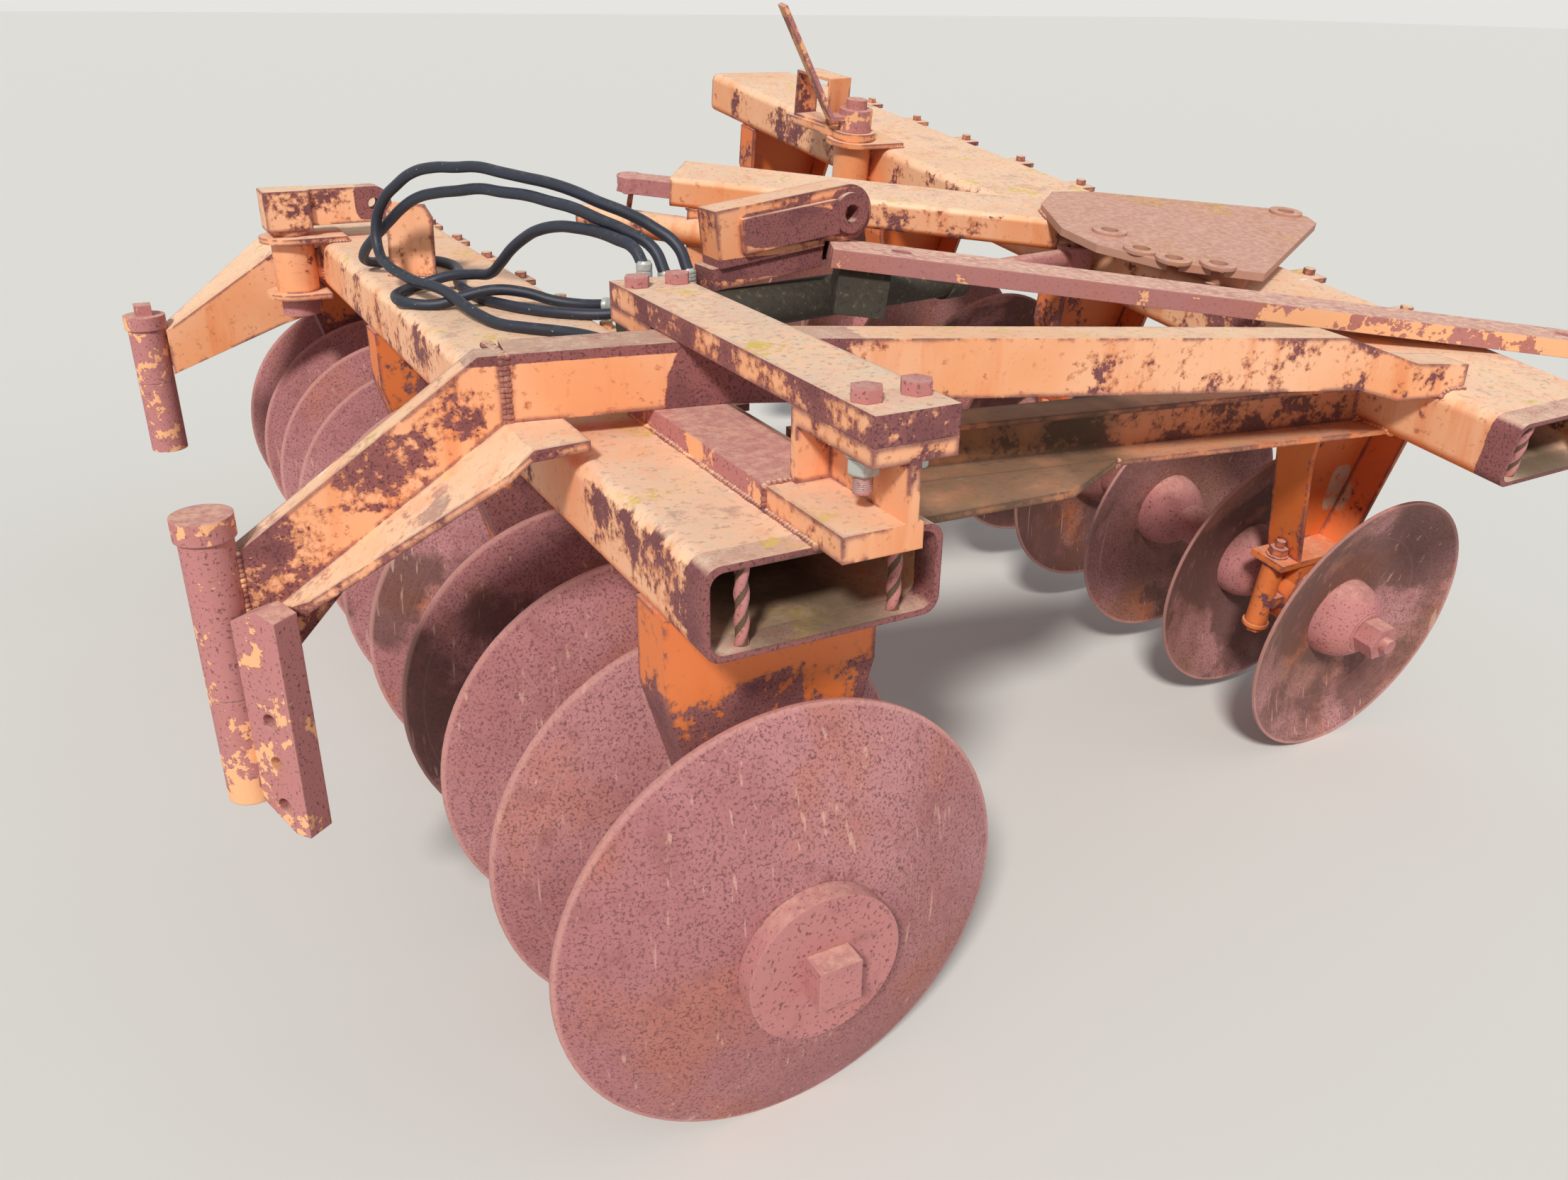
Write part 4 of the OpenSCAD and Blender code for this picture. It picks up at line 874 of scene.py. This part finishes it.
class HARROW_OT_lug(bpy.types.Operator):
    """Torn and hammered lug in the tongue's open end"""
    bl_idname = "harrow.lug"
    bl_label = "Torn lug"

    # In metres: the longest edge of its mesh and how far the hammering reaches from its torn end. Then its
    # dents, as the scale of their noise and their depth
    longest_edge = 0.008
    hammered = 0.09
    dents = ((28, 0.009), (90, 0.003))

    def execute(self, context):
        bm = merged("tongue_lug")
        bmesh.ops.triangulate(bm, faces=bm.faces)
        for _ in range(4):
            long_edges = [e for e in bm.edges if e.calc_length() > self.longest_edge]
            bmesh.ops.subdivide_edges(bm, edges=long_edges, cuts=1)
            bmesh.ops.triangulate(bm, faces=bm.faces)
        bm.normal_update()
        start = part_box("tongue_lug")[0].x
        for v in bm.verts:
            loose = min(1, max(0, 1 - (v.co.x - start) / self.hammered))
            dent = sum(noise.noise(v.co * scale) * depth for scale, depth in self.dents)
            v.co -= v.normal * abs(dent) * loose
        lug = shape("torn_lug", bm, "frame", "iron", smooth_angle=50)
        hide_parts("tongue_lug")
        return {"FINISHED"}


class HARROW_OT_fasteners(bpy.types.Operator):
    """Galvanised nuts and bolt ends under the cap bar, and ribbed bars in the beams' near mouths"""
    bl_idname = "harrow.fasteners"
    bl_label = "Nuts and bars"

    # The two near bolts in the machine frame, and the height of the flange that their nuts press on
    bolts = ((42, -87), (110, -87))
    seat = 1087.2
    # The washer's radius and thickness, the nut's width over its flats and its foot's depth under the seat
    washer_radius = 23
    washer = 3
    nut_flats = 37
    nut_foot = 26
    # The thread: radii of its crests and roots, its pitch, how many turns show, and its end under the seat
    crest = 12.6
    root = 11.2
    pitch = 2.5
    threads = 9
    bolt_end = 50.5

    # Each near mouth's frame and end, and the bars in it: their places across it and behind its end, their
    # feet and heads, their radius, and the depth of their ribs with the turn from ring to ring in radians
    mouths = ((LEFT, -85), (RIGHT, -254))
    bar_across = (-107, 107)
    bar_behind = 18
    bar_low = 507.5
    bar_high = 613.5
    bar_radius = 8.6
    rib = 1.5
    twist = 0.75
    bar_sides = 16
    bar_rings = 26

    def execute(self, context):
        bm = bmesh.new()
        under = self.seat - self.washer
        for x, y in self.bolts:
            place = MACHINE @ Matrix.Translation((x, y, 0))
            lathe(bm, place, [(15, self.seat), (self.washer_radius, self.seat),
                              (self.washer_radius, under), (15, under)])
            hexagon(bm, place, self.nut_flats, self.seat - self.nut_foot, under - 0.2)
            thread = [(self.root, self.seat - self.nut_foot + 2)]
            for k in range(self.threads):
                low = self.seat - self.nut_foot - self.pitch * k
                thread += [(self.crest, low), (self.root, low - self.pitch / 2)]
            lathe(bm, place, [*thread, (9, self.seat - self.bolt_end)], sides=20)
        shape("clamp_nuts", bm, "frame", "zinc")
        self.twisted_bars()
        return {"FINISHED"}

    def twisted_bars(self):
        """Ribbed reinforcing bars over the plain rods of the solid."""
        bm = bmesh.new()
        turns = [2 * math.pi * j / self.bar_sides for j in range(self.bar_sides)]
        for frame_of, end in self.mouths:
            for across in self.bar_across:
                rings = []
                for k in range(self.bar_rings):
                    z = self.bar_low + (self.bar_high - self.bar_low) * k / (self.bar_rings - 1)
                    reach = [self.bar_radius + self.rib * math.cos(2 * a - self.twist * k) for a in turns]
                    rings.append([(r * math.cos(a), r * math.sin(a), z) for r, a in zip(reach, turns)])
                skin(bm, frame_of @ Matrix.Translation((across, end + self.bar_behind, 0)), rings)
        shape("mouth_bars", bm, "frame", "iron", smooth_angle=80)


class HARROW_OT_solids(bpy.types.Operator):
    """Finishes of the solids that show as they are"""
    bl_idname = "harrow.solids"
    bl_label = "Finishes"

    def execute(self, context):
        for finish, names in FINISHES.items():
            for name in names:
                if name not in NODES:
                    raise RuntimeError("no solid named " + name)
                data = NODES[name].data
                data.materials.clear()
                data.materials.append(MATERIALS[finish])
        return {"FINISHED"}


class HARROW_PT_panel(bpy.types.Panel):
    """Buttons for each group of pieces"""
    bl_idname = "HARROW_PT_panel"
    bl_label = "Disc harrow"
    bl_space_type = "VIEW_3D"
    bl_region_type = "UI"
    bl_category = "Harrow"

    def draw(self, context):
        for operator in OPERATORS:
            self.layout.operator(operator.bl_idname)


OPERATORS = (HARROW_OT_stage, HARROW_OT_hoses, HARROW_OT_welds, HARROW_OT_lug, HARROW_OT_fasteners,
             HARROW_OT_solids)
GROUPS = (HarrowColours, HarrowSizes, HarrowStage)


def register():
    for group in (*GROUPS, *OPERATORS, HARROW_PT_panel):
        bpy.utils.register_class(group)
    bpy.types.Scene.harrow_colours = PointerProperty(type=HarrowColours)
    bpy.types.Scene.harrow_sizes = PointerProperty(type=HarrowSizes)
    bpy.types.Scene.harrow_stage = PointerProperty(type=HarrowStage)


def unregister():
    del bpy.types.Scene.harrow_colours
    del bpy.types.Scene.harrow_sizes
    del bpy.types.Scene.harrow_stage
    for group in (HARROW_PT_panel, *reversed(OPERATORS), *reversed(GROUPS)):
        bpy.utils.unregister_class(group)


def main():
    register()
    MATERIALS.update(make_materials())
    bpy.ops.harrow.stage()
    bpy.ops.harrow.hoses()
    bpy.ops.harrow.welds()
    bpy.ops.harrow.lug()
    bpy.ops.harrow.fasteners()
    bpy.ops.harrow.solids()


if __name__ == "__main__":
    main()
